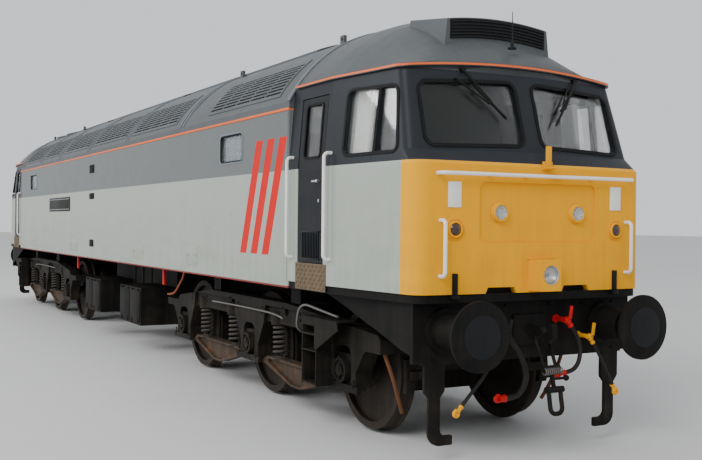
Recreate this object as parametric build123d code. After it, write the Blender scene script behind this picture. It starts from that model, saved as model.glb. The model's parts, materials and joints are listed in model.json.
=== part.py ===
from build123d import *
import os
from math import asin, atan2, cos, degrees, hypot, pi, radians, sin, sqrt, tan

# A six-axle diesel locomotive with a cab at each end, in millimetres.
# +X runs along the locomotive towards its front cab, +Y to its left side and +Z up.
# The origin is on the ground plane at mid length: Z = 0 touches the bottom of the wheel flanges,
# and the top of the rail would be one flange depth above it.

# Running gear
WHEEL_RADIUS = 571.5
FLANGE_DEPTH = 28.0
RAIL = FLANGE_DEPTH
AXLE_Z = RAIL + WHEEL_RADIUS
PIVOT_X = 5639.0
AXLE_PITCH = 2210.0
WHEEL_BACK_Y = 681.5
TYRE_WIDTH = 140.0
FLANGE_WIDTH = 30.0
RIM_RADIUS = 500.0
WEB_THICKNESS = 34.0
HUB_RADIUS = 150.0
HUB_OVERHANG = 25.0
AXLE_RADIUS = 90.0
JOURNAL_RADIUS = 70.0
JOURNAL_END_Y = 1020.0
BEARING_CLEARANCE = 5.0

# Overall body
BUFFER_FACE_X = 9677.5
NOSE_X = 9300.0
BODY_HALF_WIDTH = 1346.0
BODY_END_X = 7150.0
SILL_Z = RAIL + 1290.0
SOLE_Z = RAIL + 1360.0
CANTRAIL_Z = RAIL + 3050.0
ROOF_SPRING_Z = RAIL + 3122.5
CROWN_Z = RAIL + 3925.0
ROOF_RISE = CROWN_Z - ROOF_SPRING_Z
ROOF_RADIUS = (BODY_HALF_WIDTH**2 + ROOF_RISE**2) / (2 * ROOF_RISE)
ROOF_AXIS_Z = CROWN_Z - ROOF_RADIUS
ROOF_SPRING_ANGLE = degrees(asin((ROOF_RADIUS - ROOF_RISE) / ROOF_RADIUS))
WALL = 60.0
CENTRE_SILL_HALF_WIDTH = 260.0
CENTRE_SILL_LOW_Z = SILL_Z - 80.0
APRON_INSET = 15.0

# Cabs
CAB_FLOOR_Z = RAIL + 1550.0
WAIST_Z = RAIL + 2420.0
SCREEN_FOOT_Z = RAIL + 2545.0
GUTTER_Z = RAIL + 3230.0
GLASS = 12.0
GLASS_RECESS = 14.0
CUT_OUTSIDE = 154.0
CUT_INSIDE = 346.0
CUT_LENGTH = 700.0

# Cab plan at four heights, set back from the nose and in from the body side. The door plane lies
# in by side_in, the front corner is back by corner_back and in by corner_in, and the middle of the
# front is back by middle_back.
CAB_ROWS = (
    # height, side_in, corner_back, corner_in, middle_back, corner_radius
    (SOLE_Z, 0.0, 38.0, 120.0, 0.0, 150.0),
    (WAIST_Z, 0.0, 38.0, 120.0, 0.0, 150.0),
    (SCREEN_FOOT_Z, 8.0, 200.0, 134.0, 84.0, 120.0),
    (GUTTER_Z, 64.0, 397.0, 200.0, 288.0, 110.0),
)
CAB_PLAN = [
    (z, BODY_HALF_WIDTH - side, NOSE_X - back, BODY_HALF_WIDTH - inward, NOSE_X - middle, radius)
    for z, side, back, inward, middle, radius in CAB_ROWS
]

# Cab roof: its crown is level to DOME_START_X and then falls to the gutter along a smooth curve.
DOME_CURVE = 2.6
DOME_SHARES = (
    0.0, 0.163, 0.30, 0.42, 0.51, 0.59, 0.66, 0.72, 0.77, 0.81, 0.835, 0.853
)
DOME_STATIONS = [BODY_END_X + share * (NOSE_X - BODY_END_X) for share in DOME_SHARES]
DOME_START_X = DOME_STATIONS[1]
DOME_HOLLOW_STATIONS = 9
GUTTER_STRIP = 24.0
GUTTER_HEIGHT = 30.0
GUTTER_RISE = 57.0

# Cab doors
DOOR_REAR_X = BODY_END_X + 200.0
DOOR_FRONT_X = DOOR_REAR_X + 540.0
TAPER_X = DOOR_FRONT_X + 70.0
DOOR_TOP_Z = RAIL + 3110.0
DOOR_GAP = 8.0
DOOR_LOCK_GAP = 15.0
DOOR_THICKNESS = 50.0
DOOR_FACE_INSET = 5.0
HINGE_OFFSET_X = 3.0
DOOR_WINDOW = (DOOR_REAR_X + 105.0, DOOR_FRONT_X - 105.0, RAIL + 2540.0, RAIL + 3040.0, 45.0)

# Window openings: distance behind the nose or from the middle, and height above the rail.
CAB_SIDE_WINDOW = ((1110.0, 2525.0), (330.0, 2525.0), (420.0, 3085.0), (1100.0, 3105.0))
CAB_SIDE_WINDOW_RADIUS = 70.0
SIDE_WINDOW_BAR_BACK = 650.0
SIDE_WINDOW_BAR_WIDTH = 30.0
WINDSCREEN = ((90.0, 2600.0), (1055.0, 2572.0), (1040.0, 3120.0), (90.0, 3165.0))
WINDSCREEN_RADIUS = 90.0
BODY_WINDOW_X = BODY_END_X - 1500.0
BODY_WINDOW_WIDTH = 640.0
BODY_WINDOW_LOW_Z = RAIL + 2600.0
BODY_WINDOW_HIGH_Z = RAIL + 2900.0
BODY_WINDOW_RADIUS = 50.0

# Nose fittings
NOSE_PANEL_HALF_WIDTH = 630.0
NOSE_PANEL_LOW_Z = RAIL + 1780.0
NOSE_PANEL_HIGH_Z = RAIL + 2280.0
NOSE_PANEL_RADIUS = 60.0
NOSE_PANEL_X = NOSE_X - 28.0
MARKER_Y = 420.0
MARKER_Z = RAIL + 2030.0
MARKER_RADIUS = 78.0
TAIL_Y = 875.0
TAIL_Z = RAIL + 1888.0
TAIL_RADIUS = 72.0
HEADLAMP_Z = RAIL + 1510.0
HEADLAMP_RADIUS = 82.0
HEADLAMP_BOX_X = NOSE_X + 150.0
HEADLAMP_DEPTH = 60.0
HEADLAMP_BOX_HALF_WIDTH = 150.0
HEADLAMP_BOX_HALF_HEIGHT = 142.0

# Foot openings in the nose below the yellow panel, seen from the front (Y, Z above the rail).
FOOTHOLD = ((570.0, 1350.0), (245.0, 1350.0), (270.0, 1410.0), (540.0, 1410.0))

# Roof flank grilles. The middle is a share of the distance from mid length to the body's end.
GRILLE_LOW_ANGLE = ROOF_SPRING_ANGLE + 3.1
GRILLE_HIGH_ANGLE = GRILLE_LOW_ANGLE + 20.5
GRILLES = (
    # middle, length, columns
    (0.8147, 2050.0, 5),
    (0.3678, 2040.0, 5),
    (0.04126, 2010.0, 5),
    (-0.2783, 1900.0, 5),
    (-0.5713, 1330.0, 3),
    (-0.8308, 1540.0, 3),
)
GRILLE_ROWS = 9
GRILLE_DEPTH = 30.0
GRILLE_PROUD = 8.0
GRILLE_BORDER = 45.0
GRILLE_MULLION = 24.0
GRILLE_SLOT_SHARE = 0.52

# Roof top
FAN_XS = (-BODY_END_X + 670.0, -BODY_END_X + 1650.0)
FAN_ANGLE = 13.6
FAN_RADIUS = 330.0
FAN_RING = 40.0
FAN_RISE = 15.0
HATCHES = (
    # rear_x, front_x
    (-BODY_END_X + 2550.0, -BODY_END_X + 4750.0),
    (-2000.0, 1900.0),
    (BODY_END_X - 4850.0, BODY_END_X - 850.0),
)
HATCH_HALF_WIDTH = 610.0
HATCH_RISE = 22.0
LUG_XS = (-BODY_END_X + 250.0, -4100.0, 4270.0, BODY_END_X - 200.0)
LUG_Y = 640.0
LUG_SIZE = 80.0
LUG_THICKNESS = 36.0
LUG_EYE_RADIUS = 18.0

# Horn hood on the cab roof
HOOD_FRONT_X = NOSE_X - 600.0
HOOD_REAR_X = NOSE_X - 1200.0
HOOD_FOOT_HALF_WIDTH = 620.0
HOOD_HALF_WIDTH = 560.0
HOOD_CORNER_Z = RAIL + 3735.0
HOOD_CROWN_Z = RAIL + 3780.0
HOOD_REAR_RISE = 85.0
HOOD_SLOTS = 5
HOOD_SLOT_HALF_WIDTH = 480.0
HOOD_SLOT_PITCH = 29.0
HOOD_SLOT_HEIGHT = 15.0
HOOD_SLOT_DEPTH = 45.0

# Bogie frame, measured from the bogie's own centre along X. Each side is a cast plate whose
# outer face is set back between the pedestals.
SIDE_INNER_Y = 935.0
SIDE_OUTER_Y = 1105.0
SIDE_POCKET = 40.0
FRAME_Y = 1000.0
FRAME_TOP_Z = RAIL + 1090.0
FRAME_END_TOP_Z = RAIL + 950.0
FRAME_SOFFIT_Z = RAIL + 850.0
FRAME_END_X = 2880.0
FRAME_FLAT_REAR_X = -1230.0
FRAME_FLAT_FRONT_X = 980.0
FRAME_REAR_SHOULDER_X = -2370.0
FRAME_REAR_ARM_Z = RAIL + 880.0
PEDESTAL_FOOT_Z = RAIL + 430.0
PEDESTAL_TOP_HALF = 400.0
PEDESTAL_FOOT_HALF = 265.0
PEDESTAL_WAIST_HALF = 235.0
PEDESTAL_WAIST_Z = RAIL + 560.0
SOFFIT_RADIUS = 150.0
HORN_HALF_GAP = 155.0
HORN_TOP_Z = RAIL + 800.0
HORN_RADIUS = 100.0
KEEPER_HALF = 310.0
KEEPER_LOW_Z = RAIL + 385.0
KEEPER_HIGH_Z = RAIL + 450.0
KEEPER_THICKNESS = 22.0
FRAME_HOLES = (
    # x, height above the rail, half size
    (-574.0, 998.0, 52.0),
    (900.0, 996.0, 48.0),
)
HEADSTOCK_X = 2805.0
HEADSTOCK_LOW_Z = RAIL + 790.0
TRANSOM_X = 1105.0
TRANSOM_WIDTH = 280.0
TRANSOM_LOW_Z = RAIL + 815.0
BOLSTER_HALF_WIDTH = 560.0
BOLSTER_LOW_Z = RAIL + 960.0
PIVOT_PIN_RADIUS = 130.0
PIVOT_CLEARANCE = 6.0
STRINGER_Y = 560.0
STRINGER_WIDTH = 70.0
STRINGER_LOW_Z = RAIL + 880.0
BEARER_LENGTH = 220.0
BEARER_WIDTH = 120.0
BEARER_CLEARANCE = 5.0

# Axleboxes, equaliser beams and springs
BOX_HALF_LENGTH = 150.0
BOX_HALF_HEIGHT = 150.0
BOX_INNER_Y = 890.0
BOX_OUTER_Y = 1075.0
BOX_COVER_RADIUS = 118.0
BOX_COVER_RIM = 26.0
BOX_COVER_BOSS = 58.0
BOX_COVER_Y = 1145.0
BEAM_WIDTH = 120.0
BEAM_POCKET = 34.0
BEAM_FLANGE = 27.0
BEAM_LOW_Z = RAIL + 221.0
BEAM_END_Z = RAIL + 372.0
BEAM_SHOULDER_Z = RAIL + 385.0
BEAM_SEAT_Z = RAIL + 470.0
BEAM_LOW_HALF = 105.0
SPRING_RADIUS = 95.0
SPRING_SEAT = 18.0
SPRING_OFFSET = 470.0
SPRING_CORE = 68.0
SPRING_TURNS = 6
SPRING_CAP_Z = RAIL + 979.0

# Brakes and traction motors
SHOE_CLEARANCE = 10.0
SHOE_THICKNESS = 55.0
SHOE_ARC = 30.0
SHOE_Y = 762.0
SHOE_WIDTH = 90.0
HANGER_THICKNESS = 30.0
MOTOR_LENGTH = 690.0
MOTOR_HALF_WIDTH = 520.0
MOTOR_LOW_Z = RAIL + 290.0
MOTOR_HIGH_Z = RAIL + 800.0
MOTOR_AXLE_GAP = 12.0

# Steps on the bogie below the cab doors
STEP_REAR_X = 1721.0
STEP_FRONT_X = 2021.0
STEP_INNER_Y = 1130.0
STEP_OUTER_Y = 1290.0
STEP_PLATE = 14.0
STEP_TREADS = (RAIL + 405.0, RAIL + 715.0)
STEP_TOP_Z = RAIL + 1040.0
STEP_SHELF_Z = RAIL + 870.0
STEP_BAR_LOW_Z = RAIL + 960.0
STEP_BAR_FRONT_X = 2411.0
STEP_GUSSET_LOW_Z = RAIL + 746.0

# Ends
BEAM_FACE_X = 9150.0
BUFFER_BEAM_THICKNESS = 40.0
BUFFER_BEAM_HALF_WIDTH = 1090.0
BUFFER_BEAM_LOW_Z = RAIL + 780.0
BUFFER_Y = 870.0
BUFFER_Z = RAIL + 1054.0
BUFFER_HEAD_RADIUS = 280.0
BUFFER_HEAD_RIM = 26.0
BUFFER_DOME = 34.0
BUFFER_SHANK_RADIUS = 92.0
BUFFER_HOUSING_RADIUS = 130.0
BUFFER_HOUSING_LENGTH = 270.0
BUFFER_FLANGE_RADIUS = 190.0
BUFFER_FLANGE_THICKNESS = 30.0
VALANCE_Y = 1180.0
VALANCE_THICKNESS = 14.0
VALANCE_END_LOW_Z = RAIL + 795.0
VALANCE_EDGE = (
    # distance behind the buffer beam's face, height above the rail
    (1494.0, 1271.0),
    (1135.0, 1177.0),
    (858.0, 1094.0),
    (512.0, 997.0),
    (200.0, 899.0),
    (40.0, 862.0),
)

# Guard irons: flat bars that hang behind the buffer beam and turn in over the rail. Each row is
# a corner of the bar seen from the front.
GUARD_IRON_BACK = 35.0
GUARD_IRON_THICKNESS = 30.0
GUARD_IRON = (
    # y, height above the rail, corner radius
    (1060.0, 860.0, 0.0),
    (1060.0, 560.0, 30.0),
    (1015.0, 505.0, 30.0),
    (1015.0, 110.0, 110.0),
    (780.0, 110.0, 12.0),
    (780.0, 190.0, 12.0),
    (905.0, 190.0, 60.0),
    (905.0, 505.0, 30.0),
    (860.0, 560.0, 30.0),
    (860.0, 860.0, 0.0),
)

# Drawhook and screw coupling
HOOK_Z = RAIL + 1030.0
HOOK_HALF_THICKNESS = 28.0
HOOK = (
    # distance from the buffer beam's face, height from the hook's middle, corner radius
    (150.0, -38.0, 0.0),
    (185.0, -88.0, 30.0),
    (290.0, -95.0, 55.0),
    (352.0, -40.0, 45.0),
    (346.0, 72.0, 18.0),
    (292.0, 72.0, 12.0),
    (284.0, 6.0, 22.0),
    (238.0, -18.0, 22.0),
    (192.0, 38.0, 20.0),
    (150.0, 38.0, 0.0),
)
LINK_RADIUS = 15.0
LINK_TOP = (182.0, 85.0, -60.0)
LINK_FOOT = (300.0, 62.0, -300.0)
SHACKLE_RADIUS = 19.0
SHACKLE_Y = 63.0
SHACKLE_TOP = (350.0, -470.0)
SHACKLE_FOOT = (385.0, -665.0)
TRUNNION_RADIUS = 27.0
TRUNNION_HALF = 92.0

# Air hoses of the front end, each a route seen from the front. All hang in one plane ahead of
# the buffer beam, each from a cock on the beam, and end in a coupling head.
HOSE_X = 9300.0
HOSE_RADII = {
    "main_red": 25.0,
    "main_yellow": 15.0,
    "side_red": 19.0,
    "side_yellow": 15.0,
}
HOSE_ROUTES = {
    "main_red": (
        (-300.0, 990.0),
        (-212.0, 885.0),
        (-154.0, 776.0),
        (-134.0, 664.0),
        (-173.0, 567.0),
        (-259.0, 509.0),
        (-359.0, 511.0),
    ),
    "main_yellow": (
        (-445.0, 985.0),
        (-480.0, 868.0),
        (-545.0, 752.0),
        (-632.0, 650.0),
        (-722.0, 566.0),
        (-800.0, 482.0),
    ),
    "side_red": (
        (356.0, 1082.0),
        (424.0, 1003.5),
        (461.0, 912.5),
        (467.0, 821.0),
        (437.0, 738.0),
        (367.0, 688.0),
        (287.0, 682.0),
    ),
    "side_yellow": (
        (614.0, 921.0),
        (682.0, 828.0),
        (738.0, 730.0),
        (789.0, 632.0),
        (846.0, 540.0),
    ),
}
HOSE_BEND_SHARE = 0.45
COCK_WALL = 7.0
COCK_LENGTH = 75.0
COCK_HANDLE = 95.0
HEAD_LENGTH = 60.0
HEAD_RADIUS = 36.0
HEAD_THICKNESS = 30.0

# Underfloor boxes
TANK_HALF_WIDTH = 700.0
TANK_REAR_X = -1350.0
TANK_FRONT_X = 1950.0
TANK_LOW_Z = RAIL + 400.0
BATTERY_OUTER_Y = 1250.0
BATTERY_HIGH_Z = RAIL + 950.0
BATTERY_BOXES = ((-1350.0, -345.0), (850.0, 1950.0))

# Engine and generator, one block
ENGINE_HALF_LENGTH = 2600.0
ENGINE_HALF_WIDTH = 650.0
ENGINE_HIGH_Z = RAIL + 2950.0

# Cab fittings
DESK_REAR_X = 8720.0
DESK_HIGH_Z = RAIL + 2380.0
DESK_HALF_WIDTH = 1020.0
SEAT_X = 8300.0
SEAT_Y = 640.0
SEAT_SIZE = 460.0
SEAT_HIGH_Z = RAIL + 2000.0
SEAT_BACK_Z = RAIL + 2620.0

# Handrails
RAIL_RADIUS = 16.0
RAIL_STANDOFF = 60.0
DOOR_RAIL_XS = (7235.0, 8010.0)
DOOR_RAIL_LOW_Z = RAIL + 1600.0
DOOR_RAIL_HIGH_Z = RAIL + 2560.0
NOSE_RAIL_Z = RAIL + 2340.0
NOSE_RAIL_HALF = 1036.0
NOSE_GRAB_Y = 1010.0
NOSE_GRAB_LOW_Z = RAIL + 1510.0
NOSE_GRAB_HIGH_Z = RAIL + 1960.0

os.makedirs("parts", exist_ok=True)


def block(x0, x1, y0, y1, z0, z1):
    """A box between two corners."""
    size = Box(x1 - x0, y1 - y0, z1 - z0)
    return Pos((x0 + x1) / 2, (y0 + y1) / 2, (z0 + z1) / 2) * size


def side_plate(points, y0, y1):
    """A plate whose outline is drawn on the side view (X, Z)."""
    outline = Polyline([Vector(x, y0, z) for x, z in points], close=True)
    return extrude(make_face(outline), y1 - y0, dir=(0, 1, 0))


def soft_face(rows, place):
    """A face with rounded corners. Each row gives a corner's two coordinates and its radius."""
    corners = [place(a, b) for a, b, radius in rows]
    face = make_face(Polyline(corners, close=True))
    for (a, b, radius), corner in zip(rows, corners):
        if radius > 0.0:
            nearest = face.vertices().sort_by_distance(corner)[0]
            face = fillet(nearest, radius)
    return face


def soft_side_plate(rows, y0, y1):
    """A plate with rounded corners, drawn on the side view as rows of X, Z and corner radius."""
    return extrude(soft_face(rows, lambda x, z: Vector(x, y0, z)), y1 - y0, dir=(0, 1, 0))


def soft_end_plate(rows, x0, x1):
    """A plate with rounded corners, drawn on the end view as rows of Y, Z and corner radius."""
    return extrude(soft_face(rows, lambda y, z: Vector(x0, y, z)), x1 - x0, dir=(1, 0, 0))


def rod_x(radius, x0, x1, y, z):
    """A round bar along X."""
    return Pos((x0 + x1) / 2, y, z) * Rot(0, 90, 0) * Cylinder(radius, x1 - x0)


def rod_y(radius, x, y0, y1, z):
    """A round bar along Y."""
    return Pos(x, (y0 + y1) / 2, z) * Rot(90, 0, 0) * Cylinder(radius, y1 - y0)


def rod_z(radius, x, y, z0, z1):
    """A round bar along Z."""
    return Pos(x, y, (z0 + z1) / 2) * Cylinder(radius, z1 - z0)


def straight_rod(start, end, radius):
    """A round bar between two points."""
    along = end - start
    place = Plane(origin=start + along * 0.5, z_dir=along)
    return place * Cylinder(radius, along.length)


def tube(points, radius, bend):
    """A round bar bent along straight runs with rounded corners."""
    path = FilletPolyline(*points, radius=bend)
    section = Plane(origin=path @ 0, z_dir=path % 0) * Circle(radius)
    return sweep(section, path=path)


def both_sides(shape):
    """The shape and its mirror image on the other side of the locomotive."""
    return [shape, mirror(shape, about=Plane.XZ)]


def both_ends(shapes):
    """The shapes and their mirror images at the other end of the locomotive."""
    return shapes + [mirror(shape, about=Plane.YZ) for shape in shapes]


def four_corners(shape):
    """The shape on both sides at both ends."""
    return both_ends(both_sides(shape))


def joined(shapes):
    """One fused shape."""
    first, *others = shapes
    return first.fuse(*others) if others else first


def solids_of(shapes):
    """All solids in a list of shapes."""
    found = []
    for shape in shapes:
        found.extend(shape.solids())
    return found


def keep(name, shapes):
    """Write one piece, or like pieces that share a name, to its STEP file."""
    solids = solids_of(shapes if isinstance(shapes, list) else [shapes])
    part = solids[0] if len(solids) == 1 else Compound(children=solids)
    export_step(part, f"parts/{name}.step")
    return part


# Cab shape

def plan_at(height):
    """The cab's plan values at a height, by straight lines between the rows of CAB_PLAN."""
    for low, high in zip(CAB_PLAN, CAB_PLAN[1:]):
        if height <= high[0] or high is CAB_PLAN[-1]:
            share = (height - low[0]) / (high[0] - low[0])
            return [a + share * (b - a) for a, b in zip(low[1:], high[1:])]


def plan_face(height, inset, rear_x):
    """The cab's outline at a height, drawn in from its outside by the inset."""
    door_y, corner_x, corner_y, centre_x, radius = plan_at(height)
    door_y = door_y - inset
    corner = (corner_x - inset, corner_y - inset)
    points = [(rear_x, -door_y), (TAPER_X, -door_y), (corner[0], -corner[1])]
    right = Polyline([Vector(x, y, height) for x, y in points])
    left = Polyline([Vector(x, -y, height) for x, y in points])
    front = ThreePointArc(right @ 1, Vector(centre_x - inset, 0, height), left @ 1)
    rear = Line(right @ 0, left @ 0)
    face = make_face(Curve() + [right, front, left, rear])
    corners = face.vertices().filter_by(lambda v: v.X > corner[0] - 1.0)
    return fillet(corners, max(radius - inset, 20.0))


def cab_form(inset, low=SOLE_Z, high=GUTTER_Z, rear_x=BODY_END_X):
    """The cab as a solid, from its lower edge to its gutter, drawn in by the inset."""
    middle = [row[0] for row in CAB_PLAN if low < row[0] < high]
    heights = [low] + middle + [high]
    sections = [plan_face(height, inset, rear_x) for height in heights]
    forms = [loft(pair, ruled=True) for pair in zip(sections, sections[1:])]
    return joined(forms)


def side_y(x, height):
    """Half width of the cab's outside at a place along its side."""
    door_y, corner_x, corner_y, centre_x, radius = plan_at(height)
    if x <= TAPER_X:
        return door_y
    return door_y + (corner_y - door_y) * (x - TAPER_X) / (corner_x - TAPER_X)


def dome_crown(x):
    """Height of the cab roof on the centre line."""
    foot = GUTTER_Z + GUTTER_RISE
    share = max(x - DOME_START_X, 0.0) / (CAB_PLAN[-1][4] - DOME_START_X)
    return CROWN_Z - (CROWN_Z - foot) * share**DOME_CURVE


def dome_half_width(x):
    """Half width of the cab roof at the gutter: straight side, rounded corner, then the front."""
    height, door_y, corner_x, corner_y, centre_x, radius = CAB_PLAN[-1]
    side = side_y(x, GUTTER_Z)
    if x <= corner_x - radius * 0.8:
        return side
    front = corner_y * sqrt(max(centre_x - x, 0.0) / (centre_x - corner_x))
    return min(side - 0.12 * radius, front)


def cab_roof_form(inset, stations):
    """The cab roof as a solid dome, drawn in by the inset."""
    sections = []
    for x in stations:
        half = dome_half_width(x) - inset
        crown = dome_crown(x) - inset
        left = Vector(x, half, GUTTER_Z)
        right = Vector(x, -half, GUTTER_Z)
        arc = ThreePointArc(right, Vector(x, 0, crown), left)
        sections.append(make_face(Curve() + [arc, Line(left, right)]))
    return loft(sections, ruled=True)


# Cutters start outside the body side and reach in behind its wall.
cut_outer_y = -BODY_HALF_WIDTH - CUT_OUTSIDE
cut_inner_y = -BODY_HALF_WIDTH + CUT_INSIDE


def rounded_prism(points, radius, direction, start):
    """A window-shaped prism. Points are (X, Z) seen from the side or (Y, Z) seen from the front."""
    if direction == "Y":
        outline = [Vector(x, start, z) for x, z in points]
        along = (0, 1, 0)
    else:
        outline = [Vector(start, y, z) for y, z in points]
        along = (1, 0, 0)
    face = make_face(Polyline(outline, close=True))
    face = fillet(face.vertices(), radius)
    return extrude(face, CUT_LENGTH, dir=along)


def rectangle(low_a, high_a, low_z, high_z):
    """Four corners of a rectangle for rounded_prism."""
    return ((low_a, low_z), (high_a, low_z), (high_a, high_z), (low_a, high_z))


def above_rail(points):
    """The points with their heights counted from the rail."""
    return [(a, RAIL + z) for a, z in points]


side_window_corners = [(NOSE_X - back, RAIL + z) for back, z in CAB_SIDE_WINDOW]
side_window_hole = rounded_prism(side_window_corners, CAB_SIDE_WINDOW_RADIUS, "Y", cut_outer_y)
side_window_hole = side_window_hole - block(
    NOSE_X - SIDE_WINDOW_BAR_BACK - SIDE_WINDOW_BAR_WIDTH / 2,
    NOSE_X - SIDE_WINDOW_BAR_BACK + SIDE_WINDOW_BAR_WIDTH / 2,
    cut_outer_y - 10.0,
    cut_outer_y + CUT_LENGTH + 100.0,
    SCREEN_FOOT_Z - 100.0,
    GUTTER_Z,
)
windscreen_hole = rounded_prism(above_rail(WINDSCREEN), WINDSCREEN_RADIUS, "X", NOSE_X - 600.0)
door_window_hole = rounded_prism(rectangle(*DOOR_WINDOW[:4]), DOOR_WINDOW[4], "Y", cut_outer_y)
body_window_hole = rounded_prism(
    rectangle(
        BODY_WINDOW_X - BODY_WINDOW_WIDTH / 2,
        BODY_WINDOW_X + BODY_WINDOW_WIDTH / 2,
        BODY_WINDOW_LOW_Z,
        BODY_WINDOW_HIGH_Z,
    ),
    BODY_WINDOW_RADIUS,
    "Y",
    cut_outer_y,
)

cab_outside = cab_form(0.0)
cab_inside = cab_form(WALL, SOLE_Z - 10.0, GUTTER_Z + 10.0, BODY_END_X - 10.0)
door_hole = block(DOOR_REAR_X, DOOR_FRONT_X, cut_outer_y, cut_inner_y, CAB_FLOOR_Z, DOOR_TOP_Z)
nose_recess = rounded_prism(
    rectangle(-NOSE_PANEL_HALF_WIDTH, NOSE_PANEL_HALF_WIDTH, NOSE_PANEL_LOW_Z, NOSE_PANEL_HIGH_Z),
    NOSE_PANEL_RADIUS,
    "X",
    NOSE_PANEL_X,
)
foothold = extrude(
    make_face(Polyline([Vector(NOSE_X - 2 * WALL, -y, RAIL + z) for y, z in FOOTHOLD], close=True)),
    4 * WALL,
    dir=(1, 0, 0),
)


def make_cab():
    """The cab shell: side walls with doorways and windows, and the front with its windscreens."""
    shell = cab_outside - cab_inside
    for hole in (side_window_hole, windscreen_hole, door_hole, foothold):
        shell = shell - hole - mirror(hole, about=Plane.XZ)
    return shell - nose_recess


def make_cab_glass():
    """Windscreens and cab side windows, each pane a slice of the cab's own surface."""
    outer = cab_form(GLASS_RECESS)
    inner = cab_form(GLASS_RECESS + GLASS)
    skin = outer - inner
    panes = []
    for hole in (side_window_hole, windscreen_hole):
        panes.extend(both_sides(skin & hole))
    return panes


cab_shell = make_cab()
keep("cab_front", cab_shell)
keep("cab_rear", mirror(cab_shell, about=Plane.YZ))

cab_panes = make_cab_glass()
body_pane = block(
    BODY_WINDOW_X - BODY_WINDOW_WIDTH,
    BODY_WINDOW_X + BODY_WINDOW_WIDTH,
    -BODY_HALF_WIDTH + GLASS_RECESS,
    -BODY_HALF_WIDTH + GLASS_RECESS + GLASS,
    BODY_WINDOW_LOW_Z,
    BODY_WINDOW_HIGH_Z,
)
keep("window_glass", both_ends(cab_panes) + four_corners(body_pane & body_window_hole))


# Cab roof, horn hood and gutter

dome = cab_roof_form(0.0, DOME_STATIONS)
dome_inside = cab_roof_form(WALL, [BODY_END_X - 10.0] + DOME_STATIONS[1:DOME_HOLLOW_STATIONS])
cab_roof = dome - dome_inside
keep("cab_roof_front", cab_roof)
keep("cab_roof_rear", mirror(cab_roof, about=Plane.YZ))


def arched_face(x, foot_half, half, foot_z, corner_z, crown_z):
    """An end-view outline with a flat foot, leaning sides and an arched top."""
    left = Vector(x, half, corner_z)
    right = Vector(x, -half, corner_z)
    arch = ThreePointArc(right, Vector(x, 0, crown_z), left)
    foot = Polyline(left, Vector(x, foot_half, foot_z), Vector(x, -foot_half, foot_z), right)
    return make_face(Curve() + [arch, foot])


def make_horn_hood():
    """The louvred hood that faces forward over the windscreens, with an arched top."""
    front = arched_face(
        HOOD_FRONT_X, HOOD_FOOT_HALF_WIDTH, HOOD_HALF_WIDTH, GUTTER_Z, HOOD_CORNER_Z, HOOD_CROWN_Z
    )
    rear = arched_face(
        HOOD_REAR_X,
        HOOD_FOOT_HALF_WIDTH,
        HOOD_HALF_WIDTH,
        GUTTER_Z,
        HOOD_CORNER_Z + HOOD_REAR_RISE,
        HOOD_CROWN_Z + HOOD_REAR_RISE,
    )
    hood = loft([rear, front], ruled=True)
    arch = (HOOD_CROWN_Z - HOOD_CORNER_Z) * (HOOD_SLOT_HALF_WIDTH / HOOD_HALF_WIDTH) ** 2
    for row in range(HOOD_SLOTS):
        crown = HOOD_CROWN_Z - (row + 1) * HOOD_SLOT_PITCH
        low = crown - HOOD_SLOT_HEIGHT
        start = HOOD_FRONT_X - HOOD_SLOT_DEPTH
        half = HOOD_SLOT_HALF_WIDTH
        top = ThreePointArc(
            Vector(start, -half, crown - arch), Vector(start, 0, crown), Vector(start, half, crown - arch)
        )
        bottom = ThreePointArc(
            Vector(start, half, low - arch), Vector(start, 0, low), Vector(start, -half, low - arch)
        )
        ends = [Line(top @ 1, bottom @ 0), Line(bottom @ 1, top @ 0)]
        slot = extrude(make_face(Curve() + [top, bottom] + ends), 2 * HOOD_SLOT_DEPTH, dir=(1, 0, 0))
        hood = hood - slot
    return hood - dome


horn_hood = make_horn_hood()
keep("horn_hoods", both_ends([horn_hood.solids().sort_by(SortBy.VOLUME)[-1]]))


def make_gutter():
    """The rain gutter: level along the sides, and rising to the middle across the front."""
    ring = extrude(plan_face(GUTTER_Z, -GUTTER_STRIP, BODY_END_X + 70.0), 140.0, dir=(0, 0, 1))
    ring = Pos(0, 0, -30.0) * ring
    corner_y = CAB_PLAN[-1][3]
    start_x = BODY_END_X - 150.0
    low = [Vector(start_x, y, GUTTER_Z) for y in (cut_outer_y, -corner_y)]
    high = [Vector(start_x, y, GUTTER_Z + GUTTER_HEIGHT) for y in (cut_outer_y, -corner_y)]
    lower = ThreePointArc(low[1], Vector(start_x, 0, GUTTER_Z + GUTTER_RISE), mirror_y(low[1]))
    crown = Vector(start_x, 0, GUTTER_Z + GUTTER_RISE + GUTTER_HEIGHT)
    upper = ThreePointArc(high[1], crown, mirror_y(high[1]))
    edges = [
        Line(low[0], low[1]),
        lower,
        Line(mirror_y(low[1]), mirror_y(low[0])),
        Line(mirror_y(low[0]), mirror_y(high[0])),
        Line(mirror_y(high[0]), mirror_y(high[1])),
        upper,
        Line(high[1], high[0]),
        Line(high[0], low[0]),
    ]
    band = extrude(make_face(Curve() + edges), NOSE_X + 200.0 - start_x, dir=(1, 0, 0))
    strip = (ring & band) - dome - cab_outside
    return strip.solids().sort_by(SortBy.VOLUME)[-1]


def mirror_y(point):
    """The point on the other side."""
    return Vector(point.X, -point.Y, point.Z)


gutter = make_gutter()
keep("gutters", both_ends([gutter]))


# Body sides and roof

def make_side_wall():
    """The right body side, with its two small windows."""
    wall = block(
        -BODY_END_X,
        BODY_END_X,
        -BODY_HALF_WIDTH,
        -BODY_HALF_WIDTH + WALL,
        SILL_Z,
        CANTRAIL_Z,
    )
    return wall - body_window_hole - mirror(body_window_hole, about=Plane.YZ)


side_wall = make_side_wall()
keep("side_wall_right", side_wall)
keep("side_wall_left", mirror(side_wall, about=Plane.XZ))


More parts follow.
